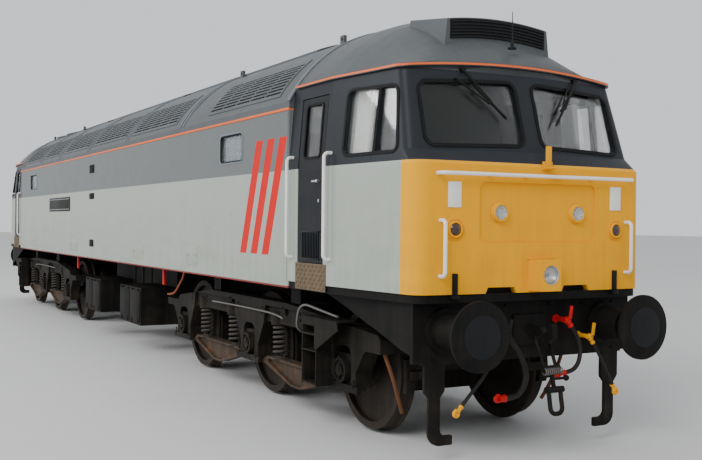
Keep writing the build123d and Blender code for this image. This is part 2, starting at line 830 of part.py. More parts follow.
def roof_outline(radius, half_width, x):
    """The roof's edge and arc at one radius, as edges on the plane of a given X."""
    spring_z = ROOF_AXIS_Z + sqrt(radius**2 - half_width**2)
    arc = ThreePointArc(
        Vector(x, -half_width, spring_z),
        Vector(x, 0, ROOF_AXIS_Z + radius),
        Vector(x, half_width, spring_z),
    )
    right = Line(Vector(x, -half_width, CANTRAIL_Z), arc @ 0)
    left = Line(arc @ 1, Vector(x, half_width, CANTRAIL_Z))
    return [right, arc, left]


def roof_form(inset, x0, x1):
    """The roof as a solid above the cantrail."""
    edges = roof_outline(ROOF_RADIUS - inset, BODY_HALF_WIDTH - inset, x0)
    closing = Line(edges[2] @ 1, edges[0] @ 0)
    return extrude(make_face(Curve() + edges + [closing]), x1 - x0, dir=(1, 0, 0))


def arc_slab(low_radius, high_radius, low_angle, high_angle, x0, x1):
    """A curved slab on the right flank of the roof, between two angles above the horizontal."""
    def point(radius, angle):
        return Vector(
            x0,
            -radius * cos(radians(angle)),
            ROOF_AXIS_Z + radius * sin(radians(angle)),
        )

    middle = (low_angle + high_angle) / 2
    outer = ThreePointArc(
        point(high_radius, low_angle), point(high_radius, middle), point(high_radius, high_angle)
    )
    inner = ThreePointArc(
        point(low_radius, high_angle), point(low_radius, middle), point(low_radius, low_angle)
    )
    edges = [outer, Line(outer @ 1, inner @ 0), inner, Line(inner @ 1, outer @ 0)]
    return extrude(make_face(Curve() + edges), x1 - x0, dir=(1, 0, 0))


def make_roof():
    """The body roof with its hatches, open at the grilles and fans."""
    roof = roof_form(0.0, -BODY_END_X, BODY_END_X)
    extras = []
    for x0, x1 in HATCHES:
        lid = block(x0, x1, -HATCH_HALF_WIDTH, HATCH_HALF_WIDTH, CANTRAIL_Z, CROWN_Z + HATCH_RISE)
        raised = roof_lift(HATCH_RISE, x0, x1)
        extras.append(raised & lid)
    roof = joined([roof] + extras)
    roof = roof - roof_form(WALL, -BODY_END_X - 10.0, BODY_END_X + 10.0)
    for middle, length, columns in GRILLES:
        x0, x1 = grille_span(middle, length)
        hole = arc_slab(
            ROOF_RADIUS - 2 * WALL,
            ROOF_RADIUS + WALL,
            GRILLE_LOW_ANGLE,
            GRILLE_HIGH_ANGLE,
            x0,
            x1,
        )
        roof = roof - hole - mirror(hole, about=Plane.XZ)
    for x in FAN_XS:
        for side in (-1, 1):
            roof = roof - fan_place(x, side) * Cylinder(FAN_RADIUS, 4 * WALL)
    return roof


def make_lug(x):
    """A lifting lug that stands on the right flank of the roof, with its eye along Y."""
    surface = ROOF_AXIS_Z + sqrt(ROOF_RADIUS**2 - LUG_Y**2)
    lug = block(
        x - LUG_SIZE / 2,
        x + LUG_SIZE / 2,
        -LUG_Y - LUG_THICKNESS / 2,
        -LUG_Y + LUG_THICKNESS / 2,
        surface - WALL / 2,
        surface + LUG_SIZE,
    )
    eye = rod_y(LUG_EYE_RADIUS, x, -LUG_Y - LUG_SIZE, -LUG_Y + LUG_SIZE, surface + LUG_SIZE / 2)
    return lug - eye


def grille_span(middle, length):
    """Both ends of a grille along X."""
    return middle * BODY_END_X - length / 2, middle * BODY_END_X + length / 2


def fan_place(x, side):
    """The middle of a fan on the roof's surface, tilted with the surface."""
    return Pos(x, 0, ROOF_AXIS_Z) * Rot(-side * FAN_ANGLE, 0, 0) * Pos(0, 0, ROOF_RADIUS)


def roof_lift(rise, x0, x1):
    """The roof's arc raised by a rise, as a solid."""
    radius = ROOF_RADIUS + rise
    return Pos((x0 + x1) / 2, 0, ROOF_AXIS_Z) * Rot(0, 90, 0) * Cylinder(radius, x1 - x0)


lugs = []
for lug_x in LUG_XS:
    lugs.extend(both_sides(make_lug(lug_x)))
keep("roof", joined([make_roof()] + lugs))


def make_grille(middle, length, columns):
    """One slotted panel: a curved frame with bars along the roof and mullions across it."""
    x0, x1 = grille_span(middle, length)
    frame = arc_slab(
        ROOF_RADIUS - GRILLE_DEPTH,
        ROOF_RADIUS + GRILLE_PROUD,
        GRILLE_LOW_ANGLE,
        GRILLE_HIGH_ANGLE,
        x0,
        x1,
    )
    border_angle = degrees(GRILLE_BORDER / ROOF_RADIUS)
    low = GRILLE_LOW_ANGLE + border_angle
    high = GRILLE_HIGH_ANGLE - border_angle
    pitch = (high - low) / GRILLE_ROWS
    column = (length - 2 * GRILLE_BORDER + GRILLE_MULLION) / columns
    slots = []
    for row in range(GRILLE_ROWS):
        start = low + row * pitch
        for place in range(columns):
            start_x = x0 + GRILLE_BORDER + place * column
            slot = arc_slab(
                ROOF_RADIUS - 2 * GRILLE_DEPTH,
                ROOF_RADIUS + 2 * GRILLE_PROUD,
                start,
                start + pitch * GRILLE_SLOT_SHARE,
                start_x,
                start_x + column - GRILLE_MULLION,
            )
            slots.append(slot)
    return frame - slots


grilles = []
for grille_row in GRILLES:
    grilles.extend(both_sides(make_grille(*grille_row)))
keep("roof_grilles", grilles)


def make_fan(x, side):
    """A round fan cover: a ring through the roof with a hub and crossing bars."""
    ring = Pos(0, 0, (FAN_RISE - WALL) / 2) * Cylinder(FAN_RADIUS, FAN_RISE + WALL)
    ring = ring - Cylinder(FAN_RADIUS - FAN_RING, 6 * WALL)
    bars = [Pos(0, 0, FAN_RISE - FAN_RING / 2) * Cylinder(FAN_RING * 2, FAN_RING)]
    for angle in (0.0, 45.0, 90.0, 135.0):
        bar = Box(2 * FAN_RADIUS - FAN_RING, FAN_RING / 2, FAN_RING)
        bars.append(Pos(0, 0, FAN_RISE - FAN_RING / 2) * Rot(0, 0, angle) * bar)
    return fan_place(x, side) * joined([ring] + bars)


keep("roof_fans", [make_fan(x, side) for x in FAN_XS for side in (-1, 1)])


def make_bulkhead():
    """The wall between the engine room and the cab."""
    form = roof_form(WALL, BODY_END_X - WALL, BODY_END_X)
    below = block(
        BODY_END_X - WALL,
        BODY_END_X,
        -BODY_HALF_WIDTH + WALL,
        BODY_HALF_WIDTH - WALL,
        SOLE_Z,
        CANTRAIL_Z,
    )
    return joined([form, below])


keep("bulkheads", both_ends([make_bulkhead()]))


# Underframe

def make_underframe():
    """The main frame: deck, centre sill, and the aprons and floors of the cabs."""
    inner_y = BODY_HALF_WIDTH - WALL
    deck = block(-BODY_END_X, BODY_END_X, -inner_y, inner_y, SILL_Z, SOLE_Z)
    centre_sill = block(
        -BODY_END_X,
        BODY_END_X,
        -CENTRE_SILL_HALF_WIDTH,
        CENTRE_SILL_HALF_WIDTH,
        CENTRE_SILL_LOW_Z,
        SILL_Z,
    )
    apron = extrude(plan_face(SOLE_Z, APRON_INSET, BODY_END_X), SILL_Z - SOLE_Z, dir=(0, 0, 1))
    floor = extrude(plan_face(SOLE_Z, WALL, BODY_END_X), CAB_FLOOR_Z - SOLE_Z, dir=(0, 0, 1))
    return joined([deck, centre_sill] + both_ends([apron, floor]))


def make_bogie_pivots():
    """The pivot pin of each bogie and the bearers that stop it from rocking."""
    pieces = [rod_z(PIVOT_PIN_RADIUS, PIVOT_X, 0, BOLSTER_LOW_Z, CENTRE_SILL_LOW_Z)]
    for x in (PIVOT_X - TRANSOM_X, PIVOT_X + TRANSOM_X):
        bearer = block(
            x - BEARER_LENGTH / 2,
            x + BEARER_LENGTH / 2,
            -FRAME_Y - BEARER_WIDTH / 2,
            -FRAME_Y + BEARER_WIDTH / 2,
            FRAME_TOP_Z + BEARER_CLEARANCE,
            SILL_Z,
        )
        pieces.extend(both_sides(bearer))
    return pieces


keep("bogie_pivots", both_ends(make_bogie_pivots()))
keep("underframe", make_underframe())


def make_headstock():
    """Buffer beam with its side valances below the cab, and the guard irons behind it."""
    rear_x = BEAM_FACE_X - BUFFER_BEAM_THICKNESS
    half = BUFFER_BEAM_HALF_WIDTH
    beam = block(rear_x, BEAM_FACE_X, -half, half, BUFFER_BEAM_LOW_Z, SILL_Z)
    edge = [(BEAM_FACE_X - back, RAIL + z) for back, z in VALANCE_EDGE]
    outline = [(edge[0][0], SILL_Z)] + edge + [(rear_x, SILL_Z)]
    valance = side_plate(outline, -VALANCE_Y, -VALANCE_Y + VALANCE_THICKNESS)
    bracket = block(rear_x, BEAM_FACE_X, -VALANCE_Y, -half, VALANCE_END_LOW_Z, SILL_Z)
    rows = [(-y, RAIL + z, radius) for y, z, radius in GUARD_IRON]
    iron_x = BEAM_FACE_X - GUARD_IRON_BACK
    iron = soft_end_plate(rows, iron_x, iron_x + GUARD_IRON_THICKNESS)
    return joined([beam] + both_sides(valance) + both_sides(bracket) + both_sides(iron))


keep("headstocks", both_ends([make_headstock()]))


def make_buffer():
    """A round-headed buffer: domed head, shank, housing and flange."""
    flange_x = BEAM_FACE_X
    head_back = BUFFER_FACE_X - BUFFER_DOME - BUFFER_HEAD_RIM
    housing_end = flange_x + BUFFER_HOUSING_LENGTH
    dome_arc = ThreePointArc(
        Vector(BUFFER_FACE_X, 0, 0),
        Vector(BUFFER_FACE_X - BUFFER_DOME * 0.27, BUFFER_HEAD_RADIUS / 2, 0),
        Vector(BUFFER_FACE_X - BUFFER_DOME, BUFFER_HEAD_RADIUS, 0),
    )
    points = [
        (BUFFER_FACE_X - BUFFER_DOME, BUFFER_HEAD_RADIUS),
        (head_back, BUFFER_HEAD_RADIUS),
        (head_back - 30.0, BUFFER_SHANK_RADIUS),
        (housing_end, BUFFER_SHANK_RADIUS),
        (housing_end, BUFFER_HOUSING_RADIUS),
        (flange_x + BUFFER_FLANGE_THICKNESS, BUFFER_HOUSING_RADIUS + 20.0),
        (flange_x + BUFFER_FLANGE_THICKNESS, BUFFER_FLANGE_RADIUS),
        (flange_x, BUFFER_FLANGE_RADIUS),
        (flange_x, 0.0),
        (BUFFER_FACE_X, 0.0),
    ]
    outline = Polyline([Vector(x, r, 0) for x, r in points])
    face = make_face(Curve() + [dome_arc, outline])
    return Pos(0, -BUFFER_Y, BUFFER_Z) * revolve(face, Axis.X)


keep("buffers", four_corners(make_buffer()))


def make_drawgear():
    """The drawhook and the screw coupling that hangs from it."""
    face = BEAM_FACE_X
    plate = block(face, face + 25.0, -170.0, 170.0, HOOK_Z - 130.0, HOOK_Z + 130.0)
    shank = block(face, face + 160.0, -30.0, 30.0, HOOK_Z - 38.0, HOOK_Z + 38.0)
    hook_rows = [(face + x, HOOK_Z + z, radius) for x, z, radius in HOOK]
    hook = soft_side_plate(hook_rows, -HOOK_HALF_THICKNESS, HOOK_HALF_THICKNESS)
    top_x, top_y, top_z = LINK_TOP
    foot_x, foot_y, foot_z = LINK_FOOT
    pieces = [plate, shank, hook, rod_y(LINK_RADIUS + 4.0, face + top_x, -top_y, top_y, HOOK_Z + top_z)]
    pieces.append(rod_y(TRUNNION_RADIUS, face + foot_x, -TRUNNION_HALF, TRUNNION_HALF, HOOK_Z + foot_z))
    start = Vector(face + top_x, -top_y + LINK_RADIUS, HOOK_Z + top_z)
    end = Vector(face + foot_x, -foot_y, HOOK_Z + foot_z)
    pieces.extend(both_sides(straight_rod(start, end, LINK_RADIUS)))
    shackle_x, shackle_z = SHACKLE_TOP
    low_x, low_z = SHACKLE_FOOT
    pieces.append(
        rod_y(TRUNNION_RADIUS, face + shackle_x, -TRUNNION_HALF, TRUNNION_HALF, HOOK_Z + shackle_z)
    )
    screw_top = Vector(face + foot_x, 0, HOOK_Z + foot_z)
    screw_foot = Vector(face + shackle_x, 0, HOOK_Z + shackle_z)
    pieces.append(straight_rod(screw_top, screw_foot, SHACKLE_RADIUS))
    bow = [
        (face + shackle_x, -SHACKLE_Y, HOOK_Z + shackle_z),
        (face + low_x, -SHACKLE_Y, HOOK_Z + low_z),
        (face + low_x, SHACKLE_Y, HOOK_Z + low_z),
        (face + shackle_x, SHACKLE_Y, HOOK_Z + shackle_z),
    ]
    pieces.append(tube(bow, SHACKLE_RADIUS, 50.0))
    middle = (screw_top + screw_foot) * 0.5
    knob = Vector(middle.X, 150.0, middle.Z)
    pieces.append(straight_rod(middle, knob, 12.0))
    pieces.append(Pos(knob.X, knob.Y, knob.Z) * Sphere(26.0))
    return joined(pieces)


keep("drawgear", both_ends([make_drawgear()]))


def make_tanks():
    """Fuel tank across the middle with the battery and equipment boxes on its sides."""
    tank = block(
        TANK_REAR_X, TANK_FRONT_X, -TANK_HALF_WIDTH, TANK_HALF_WIDTH, TANK_LOW_Z, SILL_Z - 80.0
    )
    hangers = [
        block(x - 60.0, x + 60.0, -TANK_HALF_WIDTH, -TANK_HALF_WIDTH + 60.0, SILL_Z - 80.0, SILL_Z)
        for x in (TANK_REAR_X + 200.0, TANK_FRONT_X - 200.0)
    ]
    pieces = [tank]
    for hanger in hangers:
        pieces.extend(both_sides(hanger))
    for x0, x1 in BATTERY_BOXES:
        box = block(x0, x1, -BATTERY_OUTER_Y, -TANK_HALF_WIDTH, TANK_LOW_Z, BATTERY_HIGH_Z)
        pieces.extend(both_sides(box))
    return joined(pieces)


keep("underfloor_tanks", make_tanks())
keep(
    "engine_block",
    block(
        -ENGINE_HALF_LENGTH,
        ENGINE_HALF_LENGTH,
        -ENGINE_HALF_WIDTH,
        ENGINE_HALF_WIDTH,
        SOLE_Z,
        ENGINE_HIGH_Z,
    ),
)


def make_cab_fittings():
    """The desk below the windscreens and two seats."""
    desk_form = cab_form(WALL, CAB_FLOOR_Z, DESK_HIGH_Z)
    desk_room = block(
        DESK_REAR_X, BUFFER_FACE_X, -DESK_HALF_WIDTH, DESK_HALF_WIDTH, CAB_FLOOR_Z, DESK_HIGH_Z
    )
    fittings = [desk_form & desk_room]
    for y in (-SEAT_Y, SEAT_Y):
        half = SEAT_SIZE / 2
        post = rod_z(60.0, SEAT_X, y, CAB_FLOOR_Z, SEAT_HIGH_Z - 80.0)
        pan = block(
            SEAT_X - half, SEAT_X + half, y - half, y + half, SEAT_HIGH_Z - 90.0, SEAT_HIGH_Z
        )
        back = block(
            SEAT_X - half, SEAT_X - half + 90.0, y - half, y + half, SEAT_HIGH_Z, SEAT_BACK_Z
        )
        fittings.append(joined([post, pan, back]))
    return fittings


keep("cab_fittings", both_ends(make_cab_fittings()))


# Doors

def make_door():
    """A cab door that fills its doorway but for the gaps, and its window pane."""
    leaf_room = block(
        DOOR_REAR_X + DOOR_GAP,
        DOOR_FRONT_X - DOOR_LOCK_GAP,
        cut_outer_y,
        cut_inner_y,
        CAB_FLOOR_Z + DOOR_GAP,
        DOOR_TOP_Z - DOOR_GAP,
    )
    skin = cab_form(DOOR_FACE_INSET) - cab_form(DOOR_FACE_INSET + DOOR_THICKNESS)
    leaf = (skin & leaf_room) - door_window_hole
    pane_skin = cab_form(GLASS_RECESS) - cab_form(GLASS_RECESS + GLASS)
    return leaf, pane_skin & door_window_hole


DOOR_PLACES = (
    # name, mirrored to the left, mirrored to the rear
    ("front_right", False, False),
    ("front_left", True, False),
    ("rear_right", False, True),
    ("rear_left", True, True),
)
door_leaf, door_pane = make_door()
for place, to_left, to_rear in DOOR_PLACES:
    pair = [door_leaf, door_pane]
    if to_left:
        pair = [mirror(shape, about=Plane.XZ) for shape in pair]
    if to_rear:
        pair = [mirror(shape, about=Plane.YZ) for shape in pair]
    keep(f"door_{place}", pair[0])
    keep(f"door_glass_{place}", pair[1])

door_top_y = plan_at(DOOR_TOP_Z)[0] - DOOR_FACE_INSET - DOOR_THICKNESS
print("door hinge at x", DOOR_REAR_X + HINGE_OFFSET_X, "y", -door_top_y)

sill_plate = block(
    DOOR_REAR_X - 20.0,
    DOOR_FRONT_X + 60.0,
    -BODY_HALF_WIDTH - 8.0,
    -BODY_HALF_WIDTH,
    RAIL + 1300.0,
    CAB_FLOOR_Z,
)
keep("door_sills", four_corners(sill_plate))


# Lamps and handrails

headlamp_box = block(
    NOSE_PANEL_X - 20.0,
    HEADLAMP_BOX_X,
    -HEADLAMP_BOX_HALF_WIDTH,
    HEADLAMP_BOX_HALF_WIDTH,
    HEADLAMP_Z - HEADLAMP_BOX_HALF_HEIGHT,
    HEADLAMP_Z + HEADLAMP_BOX_HALF_HEIGHT,
)
headlamp_box = headlamp_box - cab_outside
headlamp_box = headlamp_box - rod_x(
    HEADLAMP_RADIUS, HEADLAMP_BOX_X - HEADLAMP_DEPTH, HEADLAMP_BOX_X + 10.0, 0, HEADLAMP_Z
)
keep("headlamp_boxes", both_ends([headlamp_box]))


def make_lamps():
    """Headlamp, marker lamps and tail lamps of one end."""
    lamps = [
        rod_x(HEADLAMP_RADIUS, HEADLAMP_BOX_X - HEADLAMP_DEPTH, HEADLAMP_BOX_X - 12.0, 0, HEADLAMP_Z)
    ]
    for y in (-MARKER_Y, MARKER_Y):
        lamps.append(rod_x(MARKER_RADIUS, NOSE_PANEL_X, NOSE_PANEL_X + 40.0, y, MARKER_Z))
    for y in (-TAIL_Y, TAIL_Y):
        tail = rod_x(TAIL_RADIUS, NOSE_PANEL_X - 30.0, NOSE_PANEL_X + 35.0, y, TAIL_Z)
        lamps.append(tail - cab_outside)
    return lamps


keep("lamps", both_ends(make_lamps()))


def make_handrails():
    """Handrails beside the doors and across the nose of one end."""
    rails = []
    out_y = BODY_HALF_WIDTH + RAIL_STANDOFF
    for x in DOOR_RAIL_XS:
        wall_low = side_y(x, DOOR_RAIL_LOW_Z)
        wall_high = side_y(x, DOOR_RAIL_HIGH_Z)
        points = [
            (x, -wall_low + 20.0, DOOR_RAIL_LOW_Z),
            (x, -out_y, DOOR_RAIL_LOW_Z),
            (x, -out_y, DOOR_RAIL_HIGH_Z),
            (x, -wall_high + 20.0, DOOR_RAIL_HIGH_Z),
        ]
        rails.extend(both_sides(tube(points, RAIL_RADIUS, 45.0)))
    rail_x = CAB_PLAN[0][4] + 50.0
    points = [
        (CAB_PLAN[0][2] - 20.0, -NOSE_RAIL_HALF, NOSE_RAIL_Z),
        (rail_x, -NOSE_RAIL_HALF, NOSE_RAIL_Z),
        (rail_x, NOSE_RAIL_HALF, NOSE_RAIL_Z),
        (CAB_PLAN[0][2] - 20.0, NOSE_RAIL_HALF, NOSE_RAIL_Z),
    ]
    rails.append(tube(points, RAIL_RADIUS, 40.0))
    points = [
        (CAB_PLAN[0][2] - 40.0, -NOSE_GRAB_Y, NOSE_GRAB_LOW_Z),
        (rail_x, -NOSE_GRAB_Y, NOSE_GRAB_LOW_Z),
        (rail_x, -NOSE_GRAB_Y, NOSE_GRAB_HIGH_Z),
        (CAB_PLAN[0][2] - 40.0, -NOSE_GRAB_Y, NOSE_GRAB_HIGH_Z),
    ]
    rails.extend(both_sides(tube(points, RAIL_RADIUS, 40.0)))
    return [rail - cab_outside for rail in rails]


keep("handrails", both_ends(make_handrails()))


# Air hoses, their cocks and their coupling heads

def bend_radii(points):
    """The radius of each corner of a route, as large as its shorter run lets it be."""
    runs = [(b[0] - a[0], b[1] - a[1]) for a, b in zip(points, points[1:])]
    radii = []
    for first, second in zip(runs, runs[1:]):
        turn = atan2(second[1], second[0]) - atan2(first[1], first[0])
        turn = abs((turn + pi) % (2 * pi) - pi)
        shorter = min(hypot(*first), hypot(*second))
        radii.append(HOSE_BEND_SHARE * shorter / tan(turn / 2))
    return radii


def make_hose(name):
    """One hose, hanging in the plane of its route."""
    route = HOSE_ROUTES[name]
    return tube([(HOSE_X, y, z) for y, z in route], HOSE_RADII[name], bend_radii(route))


def make_cock(name):
    """A cock on the buffer beam, with a socket in line with the hose and a handle above."""
    (y0, z0), (y1, z1) = HOSE_ROUTES[name][:2]
    radius = HOSE_RADII[name] + COCK_WALL
    start = Vector(HOSE_X, y0, z0)
    back = (start - Vector(HOSE_X, y1, z1)).normalized()
    socket_top = start + back * COCK_LENGTH
    socket = straight_rod(start, socket_top, radius)
    stub = rod_x(radius, BEAM_FACE_X, HOSE_X + radius * 0.8, socket_top.Y, socket_top.Z)
    handle = straight_rod(socket_top, socket_top + Vector(0, 20.0, COCK_HANDLE), 9.0)
    return joined([stub, socket, handle])


def make_hose_head(name):
    """The coupling head at a hose's end: a ferrule in line with it and a round face."""
    (y0, z0), (y1, z1) = HOSE_ROUTES[name][-2:]
    radius = HOSE_RADII[name] + COCK_WALL
    end = Vector(HOSE_X, y1, z1)
    along = (end - Vector(HOSE_X, y0, z0)).normalized()
    ferrule = straight_rod(end, end + along * HEAD_LENGTH, radius)
    middle = end + along * (HEAD_LENGTH + HEAD_RADIUS / 2)
    half = HEAD_THICKNESS / 2
    face = rod_x(HEAD_RADIUS, HOSE_X - half, HOSE_X + half, middle.Y, middle.Z)
    return joined([ferrule, face])


for hose_name in HOSE_ROUTES:
    keep(f"hose_{hose_name}", make_hose(hose_name))
keep("air_cocks", [make_cock(hose_name) for hose_name in HOSE_ROUTES])
keep("hose_heads", [make_hose_head(hose_name) for hose_name in HOSE_ROUTES])


# Bogies

def side_outline():
    """The bogie side seen from the side, as rows of X, Z and corner radius."""
    soffit = FRAME_SOFFIT_Z
    rows = [
        (-FRAME_END_X, HEADSTOCK_LOW_Z, 0.0),
        (-FRAME_END_X, FRAME_REAR_ARM_Z, 20.0),
        (FRAME_REAR_SHOULDER_X - 80.0, FRAME_REAR_ARM_Z, 60.0),
        (FRAME_REAR_SHOULDER_X, FRAME_END_TOP_Z, 40.0),
        (FRAME_FLAT_REAR_X, FRAME_TOP_Z, 300.0),
        (FRAME_FLAT_FRONT_X, FRAME_TOP_Z, 300.0),
        (FRAME_END_X, FRAME_END_TOP_Z, 60.0),
        (FRAME_END_X, HEADSTOCK_LOW_Z, 0.0),
    ]
    for x in (AXLE_PITCH, 0.0, -AXLE_PITCH):
        front_low = HEADSTOCK_LOW_Z if x > 0.0 else soffit
        rear_low = HEADSTOCK_LOW_Z if x < 0.0 else soffit
        rows.extend([
            (x + PEDESTAL_TOP_HALF, front_low, SOFFIT_RADIUS * 0.6),
            (x + PEDESTAL_WAIST_HALF, PEDESTAL_WAIST_Z, 60.0),
            (x + PEDESTAL_FOOT_HALF, PEDESTAL_FOOT_Z, 0.0),
            (x - PEDESTAL_FOOT_HALF, PEDESTAL_FOOT_Z, 0.0),
            (x - PEDESTAL_WAIST_HALF, PEDESTAL_WAIST_Z, 60.0),
            (x - PEDESTAL_TOP_HALF, rear_low, SOFFIT_RADIUS * 0.6),
        ])
    return rows


def make_frame_side():
    """One side of the bogie's cast frame: three pedestals, recessed bays and keepers."""
    side = soft_side_plate(side_outline(), -SIDE_OUTER_Y, -SIDE_INNER_Y)
    for x in (-AXLE_PITCH, 0.0, AXLE_PITCH):
        low = HEADSTOCK_LOW_Z - 600.0
        horn = RectangleRounded(2 * HORN_HALF_GAP, HORN_TOP_Z - low, HORN_RADIUS)
        place = Plane(
            origin=(x, -SIDE_INNER_Y + 10.0, (HORN_TOP_Z + low) / 2), x_dir=(1, 0, 0), z_dir=(0, -1, 0)
        )
        side = side - extrude(place * horn, SIDE_OUTER_Y - SIDE_INNER_Y + 20.0)
    for middle in (-AXLE_PITCH / 2, AXLE_PITCH / 2):
        half = AXLE_PITCH / 2 - PEDESTAL_TOP_HALF
        rows = [
            (middle - half, FRAME_SOFFIT_Z - 20.0, 0.0),
            (middle - half + 30.0, FRAME_TOP_Z - 60.0, 30.0),
            (middle + half - 30.0, FRAME_TOP_Z - 60.0, 30.0),
            (middle + half, FRAME_SOFFIT_Z - 20.0, 0.0),
        ]
        side = side - soft_side_plate(rows, -SIDE_OUTER_Y - 10.0, -SIDE_OUTER_Y + SIDE_POCKET)
    for x, z, half in FRAME_HOLES:
        side = side - rod_y(half, x, -SIDE_OUTER_Y - 10.0, -SIDE_INNER_Y + 10.0, RAIL + z)
    keepers = []
    for x in (-AXLE_PITCH, 0.0, AXLE_PITCH):
        keepers.append(block(
            x - KEEPER_HALF,
            x + KEEPER_HALF,
            -SIDE_OUTER_Y - KEEPER_THICKNESS,
            -SIDE_OUTER_Y + 20.0,
            KEEPER_LOW_Z,
            KEEPER_HIGH_Z,
        ))
    return joined([side] + keepers)


def spring_places():
    """Middle of each spring along the bogie."""
    places = []
    for middle in (-AXLE_PITCH / 2, AXLE_PITCH / 2):
        places.extend([middle - SPRING_OFFSET, middle + SPRING_OFFSET])
    return places


def make_bogie_side():
    """One side with its spring caps, keepers and steps."""
    pieces = [make_frame_side()]
    for x in spring_places():
        pieces.append(
            rod_z(SPRING_RADIUS + 15.0, x, -FRAME_Y, FRAME_SOFFIT_Z - SPRING_SEAT, SPRING_CAP_Z)
        )
    return joined(pieces + make_steps())


def make_bogie_frame():
    """The cross members: transoms, bolster, headstocks and the stringers that carry the brakes."""
    inner = SIDE_INNER_Y
    top_z = FRAME_TOP_Z - 25.0
    transom = block(
        TRANSOM_X - TRANSOM_WIDTH / 2,
        TRANSOM_X + TRANSOM_WIDTH / 2,
        -inner,
        inner,
        TRANSOM_LOW_Z,
        top_z,
    )
    headstock = block(HEADSTOCK_X, FRAME_END_X, -inner, inner, HEADSTOCK_LOW_Z, FRAME_REAR_ARM_Z)
    bolster_end = TRANSOM_X - TRANSOM_WIDTH / 2
    bolster = block(
        -bolster_end, bolster_end, -BOLSTER_HALF_WIDTH, BOLSTER_HALF_WIDTH, BOLSTER_LOW_Z, top_z
    )
    stringer = block(
        TRANSOM_X + TRANSOM_WIDTH / 2,
        HEADSTOCK_X,
        -STRINGER_Y - STRINGER_WIDTH / 2,
        -STRINGER_Y + STRINGER_WIDTH / 2,
        STRINGER_LOW_Z,
        FRAME_END_TOP_Z,
    )
    stringer_end = block(
        HEADSTOCK_X,
        FRAME_END_X,
        -STRINGER_Y - STRINGER_WIDTH / 2,
        -STRINGER_Y + STRINGER_WIDTH / 2,
        HEADSTOCK_LOW_Z,
        FRAME_END_TOP_Z,
    )
    members = both_ends([transom, headstock]) + [bolster]
    members += four_corners(stringer) + four_corners(stringer_end)
    return joined(members) - rod_z(PIVOT_PIN_RADIUS + PIVOT_CLEARANCE, 0, 0, RAIL, SILL_Z)


def make_steps():
    """The two-tread ladder that hangs outside the frame below the cab door."""
    y0 = -STEP_OUTER_Y
    y1 = -STEP_INNER_Y
    pieces = []
    for x0 in (STEP_REAR_X, STEP_FRONT_X - STEP_PLATE):
        pieces.append(block(x0, x0 + STEP_PLATE, y0, y1, STEP_TREADS[0] - 10.0, STEP_TOP_Z))
    for z in STEP_TREADS:
        pieces.append(block(STEP_REAR_X, STEP_FRONT_X, y0, y1, z, z + STEP_PLATE))
    for z in (STEP_SHELF_Z, STEP_TOP_Z - STEP_PLATE):
        end_x = STEP_BAR_FRONT_X if z > STEP_SHELF_Z else STEP_FRONT_X
        shelf = block(STEP_REAR_X, end_x, y0, -SIDE_OUTER_Y + SIDE_POCKET / 2, z, z + STEP_PLATE)
        pieces.append(shelf)
    face_rows = [
        (STEP_REAR_X, STEP_BAR_LOW_Z),
        (STEP_REAR_X, STEP_TOP_Z),
        (STEP_BAR_FRONT_X, STEP_TOP_Z),
        (STEP_BAR_FRONT_X + 25.0, STEP_BAR_LOW_Z),
        (STEP_FRONT_X, STEP_GUSSET_LOW_Z),
        (STEP_FRONT_X - 3 * STEP_PLATE, STEP_GUSSET_LOW_Z),
        (STEP_FRONT_X - 3 * STEP_PLATE, STEP_BAR_LOW_Z),
    ]
    pieces.append(side_plate(face_rows, y0, y0 + STEP_PLATE))
    return pieces


def make_wheelset():
    """Axle with two wheels: tread, flange, rim, web, hub and journals."""
    back = WHEEL_BACK_Y
    face = back + TYRE_WIDTH
    web_inner = back + TYRE_WIDTH / 2 - WEB_THICKNESS / 2
    web_outer = web_inner + WEB_THICKNESS
    hub_inner = back - HUB_OVERHANG
    hub_outer = face - HUB_OVERHANG
    half = [
        (0.0, 0.0),
        (AXLE_RADIUS, 0.0),
        (AXLE_RADIUS, hub_inner),
        (HUB_RADIUS, hub_inner),
        (HUB_RADIUS, web_inner),
        (RIM_RADIUS, web_inner),
        (RIM_RADIUS, back),
        (WHEEL_RADIUS + FLANGE_DEPTH * 0.6, back),
        (WHEEL_RADIUS + FLANGE_DEPTH, back + FLANGE_WIDTH * 0.35),
        (WHEEL_RADIUS + FLANGE_DEPTH, back + FLANGE_WIDTH * 0.65),
        (WHEEL_RADIUS + 4.0, back + FLANGE_WIDTH * 1.3),
        (WHEEL_RADIUS - 3.0, face),
        (RIM_RADIUS, face),
        (RIM_RADIUS, web_outer),
        (HUB_RADIUS, web_outer),
        (HUB_RADIUS, hub_outer),
        (JOURNAL_RADIUS, hub_outer),
        (JOURNAL_RADIUS, JOURNAL_END_Y),
        (0.0, JOURNAL_END_Y),
    ]
    outline = Polyline([Vector(r, y, 0) for r, y in half], close=True)
    wheel = revolve(make_face(outline), Axis.Y)
    return Pos(0, 0, AXLE_Z) * joined([wheel, mirror(wheel, about=Plane.XZ)])


